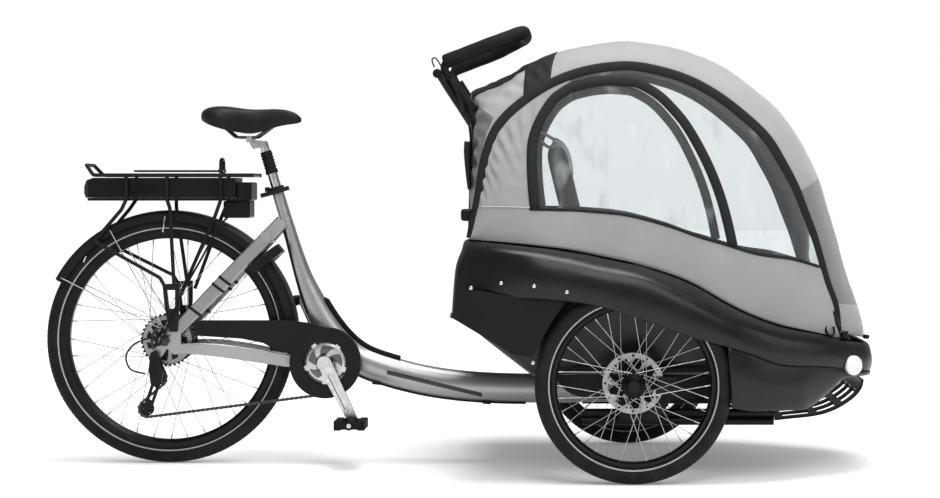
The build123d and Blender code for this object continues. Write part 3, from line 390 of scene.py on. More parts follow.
NODE_MATERIALS = {
    "main_frame": paint_silver, "frame_guard_strip": black_rubber, "rear_fender": case_plastic,
    "fender_stays": spoke_steel, "rear_rack": black_coat, "rack_clamp": black_coat,
    "battery_cradle": battery_plastic, "battery": battery_plastic, "chain_case": case_plastic,
    "bottom_bracket_cups": axle_steel, "rear_axle": axle_steel, "seat_clamp": black_coat,
    "seat_clamp_lever": black_coat, "ring_lock": case_plastic, "derailleur_body": black_coat,
    "derailleur_cage": black_coat, "guide_pulley": battery_plastic, "tension_pulley": battery_plastic,
    "cassette": sprocket_steel, "rear_rim": black_anodised, "rear_spokes": spoke_steel,
    "rear_hub": black_anodised, "seatpost": polished_alloy, "seatpost_head": polished_alloy,
    "saddle_rails": axle_steel, "right_crank": polished_alloy, "left_crank": polished_alloy,
    "crank_spindle": axle_steel, "right_pedal": black_rubber, "left_pedal": black_rubber,
    "chassis": black_coat, "headset_bearings": axle_steel, "wheel_skirts": skirt_plastic,
    "skirt_screws": polished_alloy, "side_lamps": lens_white, "bumper": case_plastic,
    "handlebar": black_coat, "bell": black_anodised, "front_calipers": black_coat,
    "brake_lever_right": black_coat, "brake_lever_left": black_coat, "hood_hoops": black_coat,
    "front_right_rim": black_anodised, "front_left_rim": black_anodised,
    "front_right_spokes": spoke_steel, "front_left_spokes": spoke_steel,
    "front_right_hub": rotor_steel, "front_left_hub": rotor_steel,
}


def dress_cad_nodes():
    """Give each CAD node that stays visible its material."""
    for name, material in NODE_MATERIALS.items():
        mesh = nodes[name].data
        mesh.materials.clear()
        mesh.materials.append(material)


# Mesh helpers ------------------------------------------------------------------------

def build(name, verts, faces, material, body, smooth=True):
    """A mesh piece that rides on a body."""
    mesh = bpy.data.meshes.new(name)
    mesh.from_pydata([tuple(v) for v in verts], [], faces)
    mesh.validate()
    mesh.update()
    made = bpy.data.objects.new(name, mesh)
    bpy.context.scene.collection.objects.link(made)
    mesh.materials.append(material)
    if smooth:
        mesh.shade_smooth()
    fix_normals(made)
    if body:
        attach(made, body)
    return made


def fix_normals(piece):
    """Point every face outward."""
    work = bmesh.new()
    work.from_mesh(piece.data)
    bmesh.ops.recalc_face_normals(work, faces=work.faces)
    work.to_mesh(piece.data)
    work.free()


def grid_faces(rows, columns, wrap_rows=False, wrap_columns=False, first=0):
    """Quads of a grid of vertices stored row by row."""
    faces = []
    for i in range(rows if wrap_rows else rows - 1):
        for j in range(columns if wrap_columns else columns - 1):
            a = first + i * columns + j
            b = first + i * columns + (j + 1) % columns
            c = first + ((i + 1) % rows) * columns + (j + 1) % columns
            d = first + ((i + 1) % rows) * columns + j
            faces.append((a, b, c, d))
    return faces


def modify(piece, kind, **settings):
    """Add a modifier and apply it to the mesh."""
    made = piece.modifiers.new(kind.lower(), kind)
    for key, value in settings.items():
        setattr(made, key, value)
    bpy.context.view_layer.objects.active = piece
    bpy.ops.object.modifier_apply(modifier=made.name)
    return piece


def curve_point(points, t):
    """Catmull-Rom point at t from 0 to 1 through the given points."""
    count = len(points) - 1
    scaled = min(max(t, 0.0), 1.0) * count
    index = min(int(floor(scaled)), count - 1)
    f = scaled - index
    p0 = points[max(index - 1, 0)]
    p1 = points[index]
    p2 = points[index + 1]
    p3 = points[min(index + 2, count)]
    return 0.5 * ((2 * p1) + (p2 - p0) * f + (2 * p0 - 5 * p1 + 4 * p2 - p3) * f * f
                  + (3 * p1 - p0 - 3 * p2 + p3) * f ** 3)


def even_line(points, count, fine=24):
    """Evenly spaced points along the smooth line through the given points."""
    steps = fine * (len(points) - 1)
    dense = [curve_point(points, i / steps) for i in range(steps + 1)]
    lengths = [0.0]
    for a, b in zip(dense, dense[1:]):
        lengths.append(lengths[-1] + (b - a).length)
    result = []
    index = 0
    for k in range(count):
        target = lengths[-1] * k / (count - 1)
        while index < len(dense) - 2 and lengths[index + 1] < target:
            index += 1
        piece = lengths[index + 1] - lengths[index]
        f = (target - lengths[index]) / piece if piece > 0 else 0
        result.append(dense[index].lerp(dense[index + 1], min(max(f, 0), 1)))
    return result


def rounded_line(points, radius, steps=8):
    """Bent line: straight runs with round bends at the inner points."""
    result = [points[0]]
    for before, here, after in zip(points, points[1:], points[2:]):
        into = (before - here)
        out = (after - here)
        reach = min(radius, into.length * 0.45, out.length * 0.45)
        start = here + into.normalized() * reach
        end = here + out.normalized() * reach
        for k in range(steps + 1):
            t = k / steps
            result.append(start * (1 - t) ** 2 + here * 2 * t * (1 - t) + end * t * t)
    result.append(points[-1])
    return result


def sweep_rings(line, shape, twist_up=Vector((0, 1, 0))):
    """Vertices of a section carried along a line; shape(t) gives (a, b) offsets at share t."""
    verts = []
    count = len(line)
    side = twist_up
    for i, here in enumerate(line):
        along = (line[min(i + 1, count - 1)] - line[max(i - 1, 0)]).normalized()
        side = (side - along * side.dot(along)).normalized()
        up = along.cross(side)
        verts.append([here + side * a + up * b for a, b in shape(i / (count - 1))])
    return verts


def oval(wide, tall, sides):
    """An oval section with the given half sizes."""
    return [(wide * cos(2 * pi * k / sides), tall * sin(2 * pi * k / sides)) for k in range(sides)]


def round_section(radius, sides=16):
    return oval(radius, radius, sides)


def capped(rings, name, material, body):
    """Closed skin over rings of equal size, with its ends filled."""
    count = len(rings[0])
    verts = [v for ring in rings for v in ring]
    faces = grid_faces(len(rings), count, wrap_columns=True)
    faces.append(tuple(reversed(range(count))))
    faces.append(tuple(range((len(rings) - 1) * count, len(rings) * count)))
    return build(name, verts, faces, material, body)


def hose(name, points, radius, material, body, bend=0.03, smooth=True, sides=10):
    """Round cable or tube through the given points."""
    if smooth:
        line = even_line(points, 10 * len(points))
    else:
        line = rounded_line(points, bend)
    rings = sweep_rings(line, lambda t: round_section(radius, sides))
    return capped(rings, name, material, body)


def join(name, objects):
    """Merge pieces that share a body into one piece."""
    bpy.ops.object.select_all(action="DESELECT")
    for made in objects:
        made.select_set(True)
    bpy.context.view_layer.objects.active = objects[0]
    bpy.ops.object.join()
    objects[0].name = name
    return objects[0]


# Tyres -------------------------------------------------------------------------------

def tyre(name, node, hub, half_width, tread_blocks, material, body):
    """Full casing with shoulder and centre tread blocks."""
    low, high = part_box(node)
    outer = (high.z - low.z) / 2
    bead = outer - 0.0455
    mid_y = (low.y + high.y) / 2
    height = (outer - bead) / 2
    around = tread_blocks * 4
    across = 36
    verts = []
    for i in range(around):
        angle = 2 * pi * i / around
        for j in range(across + 1):
            phi = radians(-152 + 304 * j / across)
            squarer = 1 + 0.05 * sin(2 * phi) ** 2
            radial = cos(phi) * height * squarer
            axial = sin(phi) * half_width * squarer
            if abs(phi) < radians(62):
                lane = int(floor((phi + radians(62)) / radians(15.5)))
                phase = (i + (lane % 2) * 2) % 4
                cut = phase == 0 or (j % 4 == 0 and abs(phi) > radians(8))
                radial -= 0.0016 if cut else 0.0
            r = min((outer + bead) / 2 + radial, outer)
            verts.append(Vector((hub.x + r * cos(angle), mid_y + axial, hub.z + r * sin(angle))))
    faces = grid_faces(around, across + 1, wrap_rows=True)
    made = build(name, verts, faces, material, body)
    modify(made, "SOLIDIFY", thickness=0.0025, offset=-1)
    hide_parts(node)
    return made


def tyres():
    rear = tyre_rubber("rear_tyre_rubber", REAR_HUB, 0.3025, 0.0034)
    front = tyre_rubber("front_tyre_rubber", FRONT_HUB, 0.2135, 0.0034)
    tyre("rear_tyre_casing", "rear_tyre", REAR_HUB, 0.0235, 150, rear, "rear_wheel")
    tyre("front_right_tyre_casing", "front_right_tyre", FRONT_HUB, 0.0235, 112, front, "front_right_wheel")
    tyre("front_left_tyre_casing", "front_left_tyre", FRONT_HUB, 0.0235, 112, front, "front_left_wheel")


# Tub ---------------------------------------------------------------------------------

# Four lines run round the tub from the middle of its back, along one side, to its nose.
TUB_TOP = [(832, 0, 612), (832, 230, 612), (842, 300, 611), (900, 328, 607), (1000, 345, 597),
           (1100, 345, 585), (1182, 345, 569), (1292, 345, 544), (1405, 345, 505), (1500, 344, 452),
           (1560, 335, 422), (1643, 308, 391), (1750, 256, 366), (1830, 204, 344), (1884, 140, 335),
           (1896, 0, 331)]
TUB_RIDGE = [(822, 0, 590), (822, 250, 590), (834, 335, 588), (900, 392, 588), (1000, 424, 579),
             (1100, 426, 561), (1182, 427, 541), (1292, 427, 518), (1405, 426, 467), (1500, 419, 421),
             (1560, 406, 397), (1643, 370, 369), (1750, 304, 350), (1840, 231, 331), (1897, 152, 321),
             (1910, 0, 317)]
TUB_SIDE = [(808, 0, 540), (808, 255, 540), (818, 342, 538), (900, 405, 540), (1000, 438, 532),
            (1100, 440, 518), (1182, 440, 498), (1292, 440, 470), (1405, 438, 425), (1500, 431, 386),
            (1560, 415, 355), (1643, 378, 328), (1750, 312, 315), (1840, 237, 300), (1901, 157, 290),
            (1914, 0, 286)]
TUB_LOW = [(803, 0, 424), (803, 262, 424), (806, 345, 428), (885, 404, 474), (1000, 435, 474),
           (1100, 437, 466), (1182, 437, 452), (1292, 437, 418), (1405, 435, 377), (1500, 428, 350),
           (1560, 412, 330), (1643, 372, 300), (1750, 305, 290), (1840, 230, 275), (1896, 152, 265),
           (1908, 0, 262)]
CHEEK_LOW = [(1503, 424, 340), (1510, 423, 200), (1560, 408, 190), (1610, 388, 187), (1653, 362, 185),
             (1700, 330, 183), (1729, 300, 188), (1775, 264, 218), (1814, 242, 250), (1840, 228, 254),
             (1893, 148, 252), (1905, 0, 250)]


def guide(line, side):
    return [point(x, side * y, z) for x, y, z in line]


def shoulder(side):
    """One side of the tub's outer skin, from top edge over the shoulder to the lower edge."""
    columns = 160
    guides = [guide(line, side) for line in (TUB_TOP, TUB_RIDGE, TUB_SIDE, TUB_LOW)]
    rows = []
    rolled = 0.012
    for i in range(columns + 1):
        t = i / columns
        top, ridge, flank, low = (curve_point(line, t) for line in guides)
        inward = Vector((0, -side, 0)) if t > 0.1 and t < 0.93 else (point(1300, 0, 400) - low).normalized()
        crown = (top + ridge) / 2 + Vector((0, 0, 0.008))
        lip = low + inward * rolled + Vector((0, 0, 0.002))
        section = [top - Vector((0, side * 0.006, 0.012)), top, crown, ridge, flank, low, lip]
        rows.append([curve_point(section, j / 30) for j in range(31)])
    verts = [v for row in rows for v in row]
    return verts, grid_faces(len(rows), 31)


def cheek(side):
    """The lower side skin ahead of the wheel, down to the foot-well and the nose."""
    columns = 70
    wheel_arch_end = 9
    upper = even_line(guide(TUB_LOW[wheel_arch_end:], side), columns + 1)
    lower = even_line(guide(CHEEK_LOW[1:], side), columns + 1)
    rows = []
    for edge, low in zip(upper, lower):
        top = edge + Vector((0, 0, 0.001))
        middle = (top + low) / 2 + Vector((0.002, side * 0.008, 0))
        under = low + Vector((-0.02, -side * 0.03, 0.001))
        section = [top, middle, low, under]
        rows.append([curve_point(section, j / 12) for j in range(13)])
    verts = [v for row in rows for v in row]
    return verts, grid_faces(len(rows), 13)


FLOOR = 263
WELL = 193


def floor_height(x):
    """Height of the tub's floor at a station: flat, a foot-well, then the raised nose."""
    steps = [(800, 416), (812, 409), (1007, FLOOR), (1500, FLOOR), (1520, WELL), (1715, WELL), (1815, 252),
             (1905, 252)]
    for (x0, z0), (x1, z1) in zip(steps, steps[1:]):
        if x <= x1:
            return z0 + (z1 - z0) * max(x - x0, 0) / (x1 - x0)
    return steps[-1][1]


def bucket():
    """The tub's inner walls and floor."""
    stations = [806, 815, 828, 842, 880, 940, 1000, 1007, 1060, 1120, 1200, 1300, 1400, 1460, 1498, 1504,
                1516, 1522, 1560, 1604, 1648, 1698, 1716, 1760, 1812, 1840, 1870, 1885]
    top_line = even_line(guide(TUB_TOP, 1), 400)
    rows = []
    for x in stations:
        wanted = point(max(x, 845), 0, 0).x
        near = min(top_line, key=lambda p: abs(p.x - wanted) + (1 if p.y < 0.02 and x < 1880 else 0))
        rim_y = near.y * 1000 - 5
        rim_z = near.z * 1000 - 6
        base = floor_height(x) + 3
        wide = min(rim_y - 4, 288) if 1060 < x < 1470 else rim_y - 14
        if x < 842:
            rim_z = 606 - (842 - x) * 4.5
        tall = rim_z - base
        half = [(rim_y, rim_z), (rim_y - 3, rim_z - tall * 0.15), (wide + 6, base + tall * 0.45),
                (wide, base + min(tall * 0.3, 40)), (wide - 12, base + min(tall * 0.1, 10)),
                (wide - 40, base), (wide * 0.5, base), (0, base)]
        full = [point(x, y, z) for y, z in half] + [point(x, -y, z) for y, z in reversed(half[:-1])]
        rows.append(full)
    verts = [v for row in rows for v in row]
    return verts, grid_faces(len(rows), len(rows[0]))


def slab(name, outline, low, high, material, body):
    """A closed panel of even thickness with softened edges, from a side outline."""
    count = len(outline)
    verts = [point(x, low, z) for x, z in outline] + [point(x, high, z) for x, z in outline]
    faces = [tuple(range(count)), tuple(reversed(range(count, 2 * count)))]
    faces += [(k, (k + 1) % count, count + (k + 1) % count, count + k) for k in range(count)]
    made = build(name, verts, faces, material, body, smooth=False)
    modify(made, "BEVEL", width=(high - low) / 4000, segments=2)
    return made


def under_tub():
    """Dark side covers under the floor, beside the beam, and the skirt's domed screws."""
    outline = flat_line([(1062, 266), (1085, 232), (1120, 212), (1200, 203), (1300, 201), (1400, 203),
                         (1470, 212),
                         (1500, 232), (1508, 266)], 30)
    for side, word in ((-1, "right"), (1, "left")):
        low, high = sorted((side * 290, side * 296))
        slab(f"floor_cover_{word}", outline, low, high, skirt_plastic, "cabin")
    skin = BVHTree.FromPolygons(*shoulder(-1))
    heads = []
    for x, z in ((855, 497), (931, 509), (1014, 502), (1096, 487), (1011, 309)):
        found = skin.ray_cast(point(x, -700, z), Vector((0, 1, 0)), 0.5)[0]
        near = max(-found.y if found else 0.0, 0.4295)
        for side in (-1, 1):
            rings = []
            for k in range(7):
                angle = pi / 2 * k / 6
                centre = Vector((point(x, 0, z).x, side * (near + 0.0022 * sin(angle)), z / 1000))
                ring = 0.0048 * cos(angle) + 0.0002
                rings.append([centre + Vector((ring * cos(2 * pi * n / 20), 0, ring * sin(2 * pi * n / 20)))
                              for n in range(20)])
            heads.append(capped(rings, "screw_head", polished_alloy, "cabin"))
    made = join("skirt_screw_heads", heads)
    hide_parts("skirt_screws")


def tub():
    pieces = []
    for side in (1, -1):
        verts, faces = shoulder(side)
        pieces.append(build("tub_shoulder", verts, faces, tub_plastic, "cabin"))
        verts, faces = cheek(side)
        pieces.append(build("tub_cheek", verts, faces, tub_plastic, "cabin"))
    for made in pieces:
        modify(made, "SOLIDIFY", thickness=0.004, offset=-1)
    verts, faces = bucket()
    inner = build("tub_bucket", verts, faces, tub_plastic, "cabin")
    modify(inner, "SOLIDIFY", thickness=0.003, offset=1)
    made = join("cabin_tub_skin", pieces + [inner])
    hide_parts("cabin_tub")


# Hood --------------------------------------------------------------------------------

CREST = [(829, 618), (829, 760), (829, 900), (829, 988), (838, 1011), (885, 1028), (941, 1056), (985, 1083),
         (1071, 1118), (1129, 1132), (1236, 1147), (1307, 1142), (1378, 1131), (1448, 1107), (1519, 1074),
         (1589, 1025), (1660, 964), (1725, 879), (1773, 780), (1801, 686), (1825, 601), (1848, 522),
         (1876, 442), (1896, 372), (1898, 345)]
HOOP = [(848, 300, 618), (866, 292, 715), (880, 280, 808), (900, 268, 878), (928, 258, 925),
        (978, 246, 972), (1045, 234, 1017), (1118, 222, 1048), (1191, 213, 1064), (1264, 209, 1068),
        (1338, 213, 1055), (1411, 220, 1031), (1484, 229, 991), (1556, 239, 935), (1614, 247, 878),
        (1652, 252, 816), (1685, 252, 753), (1709, 250, 691), (1733, 245, 628), (1752, 236, 566),
        (1771, 226, 502), (1794, 214, 439), (1802, 204, 372)]
INNER_HOOP = [(1014, 697), (1007, 760), (1004, 830), (1008, 877), (1025, 924), (1054, 972), (1081, 996),
              (1118, 1015), (1191, 1028), (1264, 1025), (1300, 1011), (1337, 987), (1373, 950), (1405, 909),
              (1440, 847), (1469, 784), (1491, 722), (1507, 661), (1520, 600)]
WINDOW_EDGE = [(999, 694), (1060, 693), (1136, 690), (1250, 679), (1363, 649), (1432, 624), (1494, 606),
               (1584, 579), (1676, 565), (1752, 543)]
WINDOW_REAR = [(1000, 694), (996, 760), (996, 820), (1002, 885), (1026, 940), (1066, 992), (1100, 1016)]


def outline_distance(x, z, line):
    """Distance and nearest point from (x, z) to a line of points."""
    best = (1e9, None)
    for (ax, az), (bx, bz) in zip(line, line[1:]):
        dx, dz = bx - ax, bz - az
        f = ((x - ax) * dx + (z - az) * dz) / (dx * dx + dz * dz)
        f = min(max(f, 0), 1)
        px, pz = ax + dx * f, az + dz * f
        gap = hypot(x - px, z - pz)
        if gap < best[0]:
            best = (gap, (px, pz))
    return best


def inside(x, z, polygon):
    """Whether (x, z) lies in a closed outline."""
    found = False
    for (ax, az), (bx, bz) in zip(polygon, polygon[1:] + polygon[:1]):
        if (az > z) != (bz > z) and x < ax + (z - az) / (bz - az) * (bx - ax):
            found = not found
    return found


def flat_line(points, count):
    """Evenly spaced (x, z) pairs along a smooth outline, in stations."""
    line = even_line([Vector((x, 0, z)) for x, z in points], count)
    return [(p.x, p.z) for p in line]


HOOD_COLUMNS = 260
ROOF_ROWS = 26
SIDE_ROWS = 56


def hood_edge(side):
    """The lower edge of the hood's side, just outside the tub's top edge."""
    line = [(842, 300, 616), (900, 330, 612), (1000, 348, 603), (1100, 348, 591), (1182, 348, 575),
            (1292, 348, 550), (1405, 348, 511), (1500, 346, 458), (1560, 338, 428), (1643, 311, 397),
            (1750, 258, 371), (1812, 206, 353)]
    return even_line(guide(line, side), HOOD_COLUMNS + 1)


def hood_rows(side):
    """For each step along the hoops, a row from the crest over the hoop down to the tub."""
    crest = even_line([point(x, 0, z) for x, z in CREST], HOOD_COLUMNS + 1)
    hoop = even_line(guide(HOOP, side), HOOD_COLUMNS + 1)
    edge = hood_edge(side)
    full = radians(74)
    rows = []
    for i in range(HOOD_COLUMNS + 1):
        top, rim_point, foot = crest[i], hoop[i], edge[i]
        row = []
        for j in range(ROOF_ROWS):
            angle = full * j / ROOF_ROWS
            across = sin(angle) / sin(full)
            drop = (1 - cos(angle)) / (1 - cos(full))
            row.append(Vector((top.x + (rim_point.x - top.x) * drop, rim_point.y * across,
                               top.z + (rim_point.z - top.z) * drop)))
        for j in range(SIDE_ROWS + 1):
            share = j / SIDE_ROWS
            here = rim_point.lerp(foot, share)
            here.y += side * 0.012 * sin(pi * share)
            row.append(here)
        rows.append(row)
    return rows


def hood_skin():
    """One continuous sheet from one side's lower edge, over the roof, to the other side's."""
    left = hood_rows(1)
    right = hood_rows(-1)
    rows = [list(reversed(b))[:-1] + a for a, b in zip(left, right)]
    columns = len(rows[0])
    verts = [v for row in rows for v in row]
    window_line = flat_line(WINDOW_EDGE, 60)
    rear_line = flat_line(WINDOW_REAR, 40)
    above_window = [(1100, 1120), (1300, 1130), (1560, 1040), (1800, 800), (1840, 560)]
    polygon = list(reversed(window_line)) + rear_line + above_window
    crown = columns // 2
    clear = set()
    borders = (rear_line, window_line)
    widest_snap = 9
    faces = grid_faces(len(rows), columns)
    side_column = [abs(j - crown) >= ROOF_ROWS for j in range(columns)]
    for face in faces:
        in_side = all(side_column[v % columns] for v in face)
        if not in_side:
            continue
        middle = sum((verts[v] for v in face), Vector()) / 4
        if inside(middle.x * 1000 + MIDDLE_STATION, middle.z * 1000, polygon):
            clear.add(face)
    clear_verts = {v for face in clear for v in face}
    cloth_verts = {v for face in faces if face not in clear for v in face}
    for v in clear_verts & cloth_verts:
        here = verts[v]
        x, z = here.x * 1000 + MIDDLE_STATION, here.z * 1000
        gap, near = min((outline_distance(x, z, line) for line in borders), key=lambda found: found[0])
        if gap < widest_snap and side_column[v % columns]:
            here.x = (near[0] - MIDDLE_STATION) / 1000
            here.z = near[1] / 1000
    crease_skin(verts, rows, columns, clear_verts)
    return verts, [f for f in faces if f not in clear], sorted(clear)


def crease_skin(verts, rows, columns, clear_verts):
    """Push soft folds into the cloth, strongest where it gathers behind the hoops."""
    crown = columns // 2
    for i in range(len(rows)):
        for j in range(columns):
            index = i * columns + j
            here = verts[index]
            x, z = here.x * 1000 + MIDDLE_STATION, here.z * 1000
            away = abs(j - crown)
            on_roof = away < ROOF_ROWS
            gather = max(0.0, 1 - abs(x - 900) / 130) * max(0.0, min(1, (z - 700) / 150))
            calm = min(1.0, i / 6, (len(rows) - 1 - i) / 6)
            edge = min(1.0, max(0, abs(away - ROOF_ROWS) - 2) / 5, (columns - 1 - j) / 6, j / 6)
            coarse = noise.noise(Vector((here.x * 9, here.y * 9, here.z * 9 + 3)))
            fine = noise.noise(Vector((here.x * 38 + 5, here.y * 14, here.z * 30)))
            if index in clear_verts:
                depth = 0.0012 * coarse + 0.0005 * fine
            elif on_roof:
                depth = 0.0025 * coarse + 0.0014 * fine + gather * 0.006 * fine
            else:
                depth = 0.0018 * coarse + 0.0010 * fine + gather * (0.008 * fine + 0.006 * coarse)
            near_hoop = 1 / (1 + ((away - ROOF_ROWS) / 13) ** 4)
            high_back = max(0.0, min(1.0, (1090 - x) / 60)) * max(0.0, min(1.0, (z - 660) / 120))
            if index not in clear_verts:
                bend = 5 * noise.noise(Vector((here.x * 7, here.y * 12, here.z * 7)))
                depth += 0.0042 * near_hoop * high_back * sin(0.95 * i + bend) * (0.5 + abs(coarse) * 1.6)
            outward = Vector((here.x - 0.5, here.y * 2.2, here.z - 0.75)).normalized()
            verts[index] = here + outward * depth * calm * edge


def hood():
    verts, cloth_faces, clear_faces = hood_skin()
    cover = build("hood_cover", verts, cloth_faces, hood_cloth, "cabin")
    dress_cover(cover)
    remove_loose(cover)
    window = build("hood_window_sheet", verts, clear_faces, window_clear, "cabin")
    remove_loose(window)
    surface = BVHTree.FromPolygons([tuple(v) for v in verts], cloth_faces + clear_faces)
    roof_band(verts)
    crest_edging(verts)
    modify(cover, "SOLIDIFY", thickness=0.0012, offset=0)
    modify(window, "SOLIDIFY", thickness=0.0005, offset=0)
    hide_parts("hood_fabric")
    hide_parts("hood_windows")
    bands(surface)


def roof_line(verts, away):
    """The roof's points from back to front at a signed number of rows from the crown."""
    columns = 2 * (ROOF_ROWS + SIDE_ROWS) + 1
    crown = columns // 2
    low = crown + int(floor(away))
    share = away - floor(away)
    high = min(low + 1, columns - 1)
    return [verts[i * columns + low].lerp(verts[i * columns + high],
            share) for i in range(HOOD_COLUMNS + 1)]


def at_station(line, x):
    """Where a line that runs forward reaches a station."""
    target = (x - MIDDLE_STATION) / 1000
    for a, b in zip(line, line[1:]):
        if a.x <= target < b.x:
            return a.lerp(b, (target - a.x) / (b.x - a.x))
    return line[-1]


def roof_band(verts):
    """Black band sewn across the roof from one hoop to the other."""
    rows = []
    for away in range(-ROOF_ROWS, ROOF_ROWS + 1):
        share = abs(away) / ROOF_ROWS
        line = roof_line(verts, away)
        start = 985 - 4 * share
        end = 1067 - 17 * share
        row = [at_station(line, start + (end - start) * k / 14) for k in range(15)]
        rows.append([here + Vector((-0.3, here.y, 0.95)).normalized() * 0.0022 for here in row])
    sheet = [v for row in rows for v in row]
    made = build("roof_band", sheet, grid_faces(len(rows), 15), binding, "cabin")
    modify(made, "SOLIDIFY", thickness=0.002, offset=0)


def crest_edging(verts):
    """Black edging along the top of the back, from the rear corner up to the roof band."""
    rows = []
    for k in range(-12, 13):
        away = 11.0 * k / 12
        line = roof_line(verts, away)
        row = [at_station(line, 833 + 154 * n / 40) for n in range(41)]
        rows.append([here + Vector((-0.4, here.y * 0.5, 0.9)).normalized() * 0.0025 for here in row])
    sheet = [v for row in rows for v in row]
    made = build("crest_edging", sheet, grid_faces(len(rows), 41), binding, "cabin")
    modify(made, "SOLIDIFY", thickness=0.002, offset=0)


def dress_cover(cover):
    """Give some of the cover's faces other cloth: a darker cloth on the back as painted shade, since the
    back faces away from the light, and a grey apron at the front.
    """
    for material in (back_painted_shade_cloth, apron_cloth):
        cover.data.materials.append(material)
    columns = 2 * (ROOF_ROWS + SIDE_ROWS) + 1
    crown = columns // 2
    verts = cover.data.vertices
    for face in cover.data.polygons:
        row = min(face.vertices) // columns
        away = min(abs(v % columns - crown) for v in face.vertices) / ROOF_ROWS
        if away >= 1:
            continue
        top = verts[row * columns + crown].co
        station = top.x * 1000 + MIDDLE_STATION
        height = top.z * 1000
        # Painted shade: the back of the hood, which faces away from the light, gets the darker cloth.
        if station < 860 and 650 < height < 985 and away < 0.85:
            face.material_index = 1
        elif station > 1770 and height > 440 and away < 0.94:
            face.material_index = 2


def remove_loose(piece):
    """Delete vertices that no face uses."""
    work = bmesh.new()
    work.from_mesh(piece.data)
    loose = [v for v in work.verts if not v.link_faces]
    bmesh.ops.delete(work, geom=loose, context="VERTS")
    work.to_mesh(piece.data)
    work.free()


def on_surface(surface, x, z, side, fallback):
    """The hood's surface at (x, z) in stations, seen from one side."""
    origin = point(x, side * 600, z)
    found = surface.ray_cast(origin, Vector((0, -side, 0)), 0.6)
    if found[0] is None:
        return fallback
    return found[0]


def ribbon(surface, name, line, width, lift, side, material, crown=0.0015):
    """A flat band that follows an (x, z) line over the hood's side."""
    across = 6
    rings = []
    last = None
    count = len(line)
    for i, (x, z) in enumerate(line):
        ax, az = line[max(i - 1, 0)]
        bx, bz = line[min(i + 1, count - 1)]
        length = hypot(bx - ax, bz - az)
        nx, nz = -(bz - az) / length, (bx - ax) / length
        row = []
        for k in range(across + 1):
            offset = width * (k / across - 0.5)
            here = on_surface(surface, x + nx * offset, z + nz * offset, side, None)
            if here is None:
                here = Vector((0, row[-1].y if row else (last[0].y if last else side * 0.25), 0))
                here.x = (x + nx * offset - MIDDLE_STATION) / 1000
                here.z = (z + nz * offset) / 1000
            bulge = crown * (1 - (2 * k / across - 1) ** 2)
            here = here + Vector((0, side * (lift + bulge), 0))
            row.append(here)
        rings.append(row)
        last = row
    verts = [v for row in rings for v in row]
    made = build(name, verts, grid_faces(count, across + 1), material, "cabin")
    modify(made, "SOLIDIFY", thickness=0.0016, offset=0)
    return made


def hoop_band(name, side):
    """The wide black sleeve over the outer hoop: a flattened tube along the hoop."""
    line = even_line(guide(HOOP, side), 180)
    section = oval(0.013, 0.0045, 14)
    rings = []
    for i, here in enumerate(line):
        along = (line[min(i + 1, 179)] - line[max(i - 1, 0)]).normalized()
        outward = Vector((0, side, 0.25)).normalized()
        outward = (outward - along * outward.dot(along)).normalized()
        flat = along.cross(outward)
        rings.append([here + outward * 0.001 + flat * a + outward * b for a, b in section])
    return capped(rings, name, binding, "cabin")


def bands(surface):
    for side, word in ((-1, "right"), (1, "left")):
        hoop_band(f"hood_outer_sleeve_{word}", side)
        inner = flat_line(INNER_HOOP, 120)
        ribbon(surface, f"hood_inner_sleeve_{word}", inner, 25, 0.003, side, binding, 0.004)
        lower = flat_line(WINDOW_EDGE, 90)
        ribbon(surface, f"window_binding_{word}", lower, 7, 0.0012, side, binding)
        seam = flat_line([(868, 700), (930, 700), (1015, 697)], 20)
        ribbon(surface, f"side_seam_{word}", seam, 2.2, 0.0012, side, piping_white)
    rods = []
    for side in (-1, 1):
        line = [point(x, side * (y - 9), z - 4) for x, y, z in HOOP[1:-1]]
        rods.append(hose("hood_rod", line, 0.006, black_coat, "cabin"))
    hoops = join("hood_hoop_rods", rods)
    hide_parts("hood_hoops")


def soft_block(name, low, high, material, body, bevel=0.3):
    """A rounded, slightly puffed block between two corners."""
    size = high - low
    work = bmesh.new()
    bmesh.ops.create_cube(work, size=1.0)
    for v in work.verts:
        v.co = Vector((v.co.x * size.x, v.co.y * size.y, v.co.z * size.z)) + (low + high) / 2
    mesh = bpy.data.meshes.new(name)
    work.to_mesh(mesh)
    work.free()
    made = bpy.data.objects.new(name, mesh)
    bpy.context.scene.collection.objects.link(made)
    mesh.materials.append(material)
    modify(made, "BEVEL", width=min(size) * bevel, segments=4)
    modify(made, "SUBSURF", levels=2, render_levels=2)
    mesh.shade_smooth()
    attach(made, body)
    return made


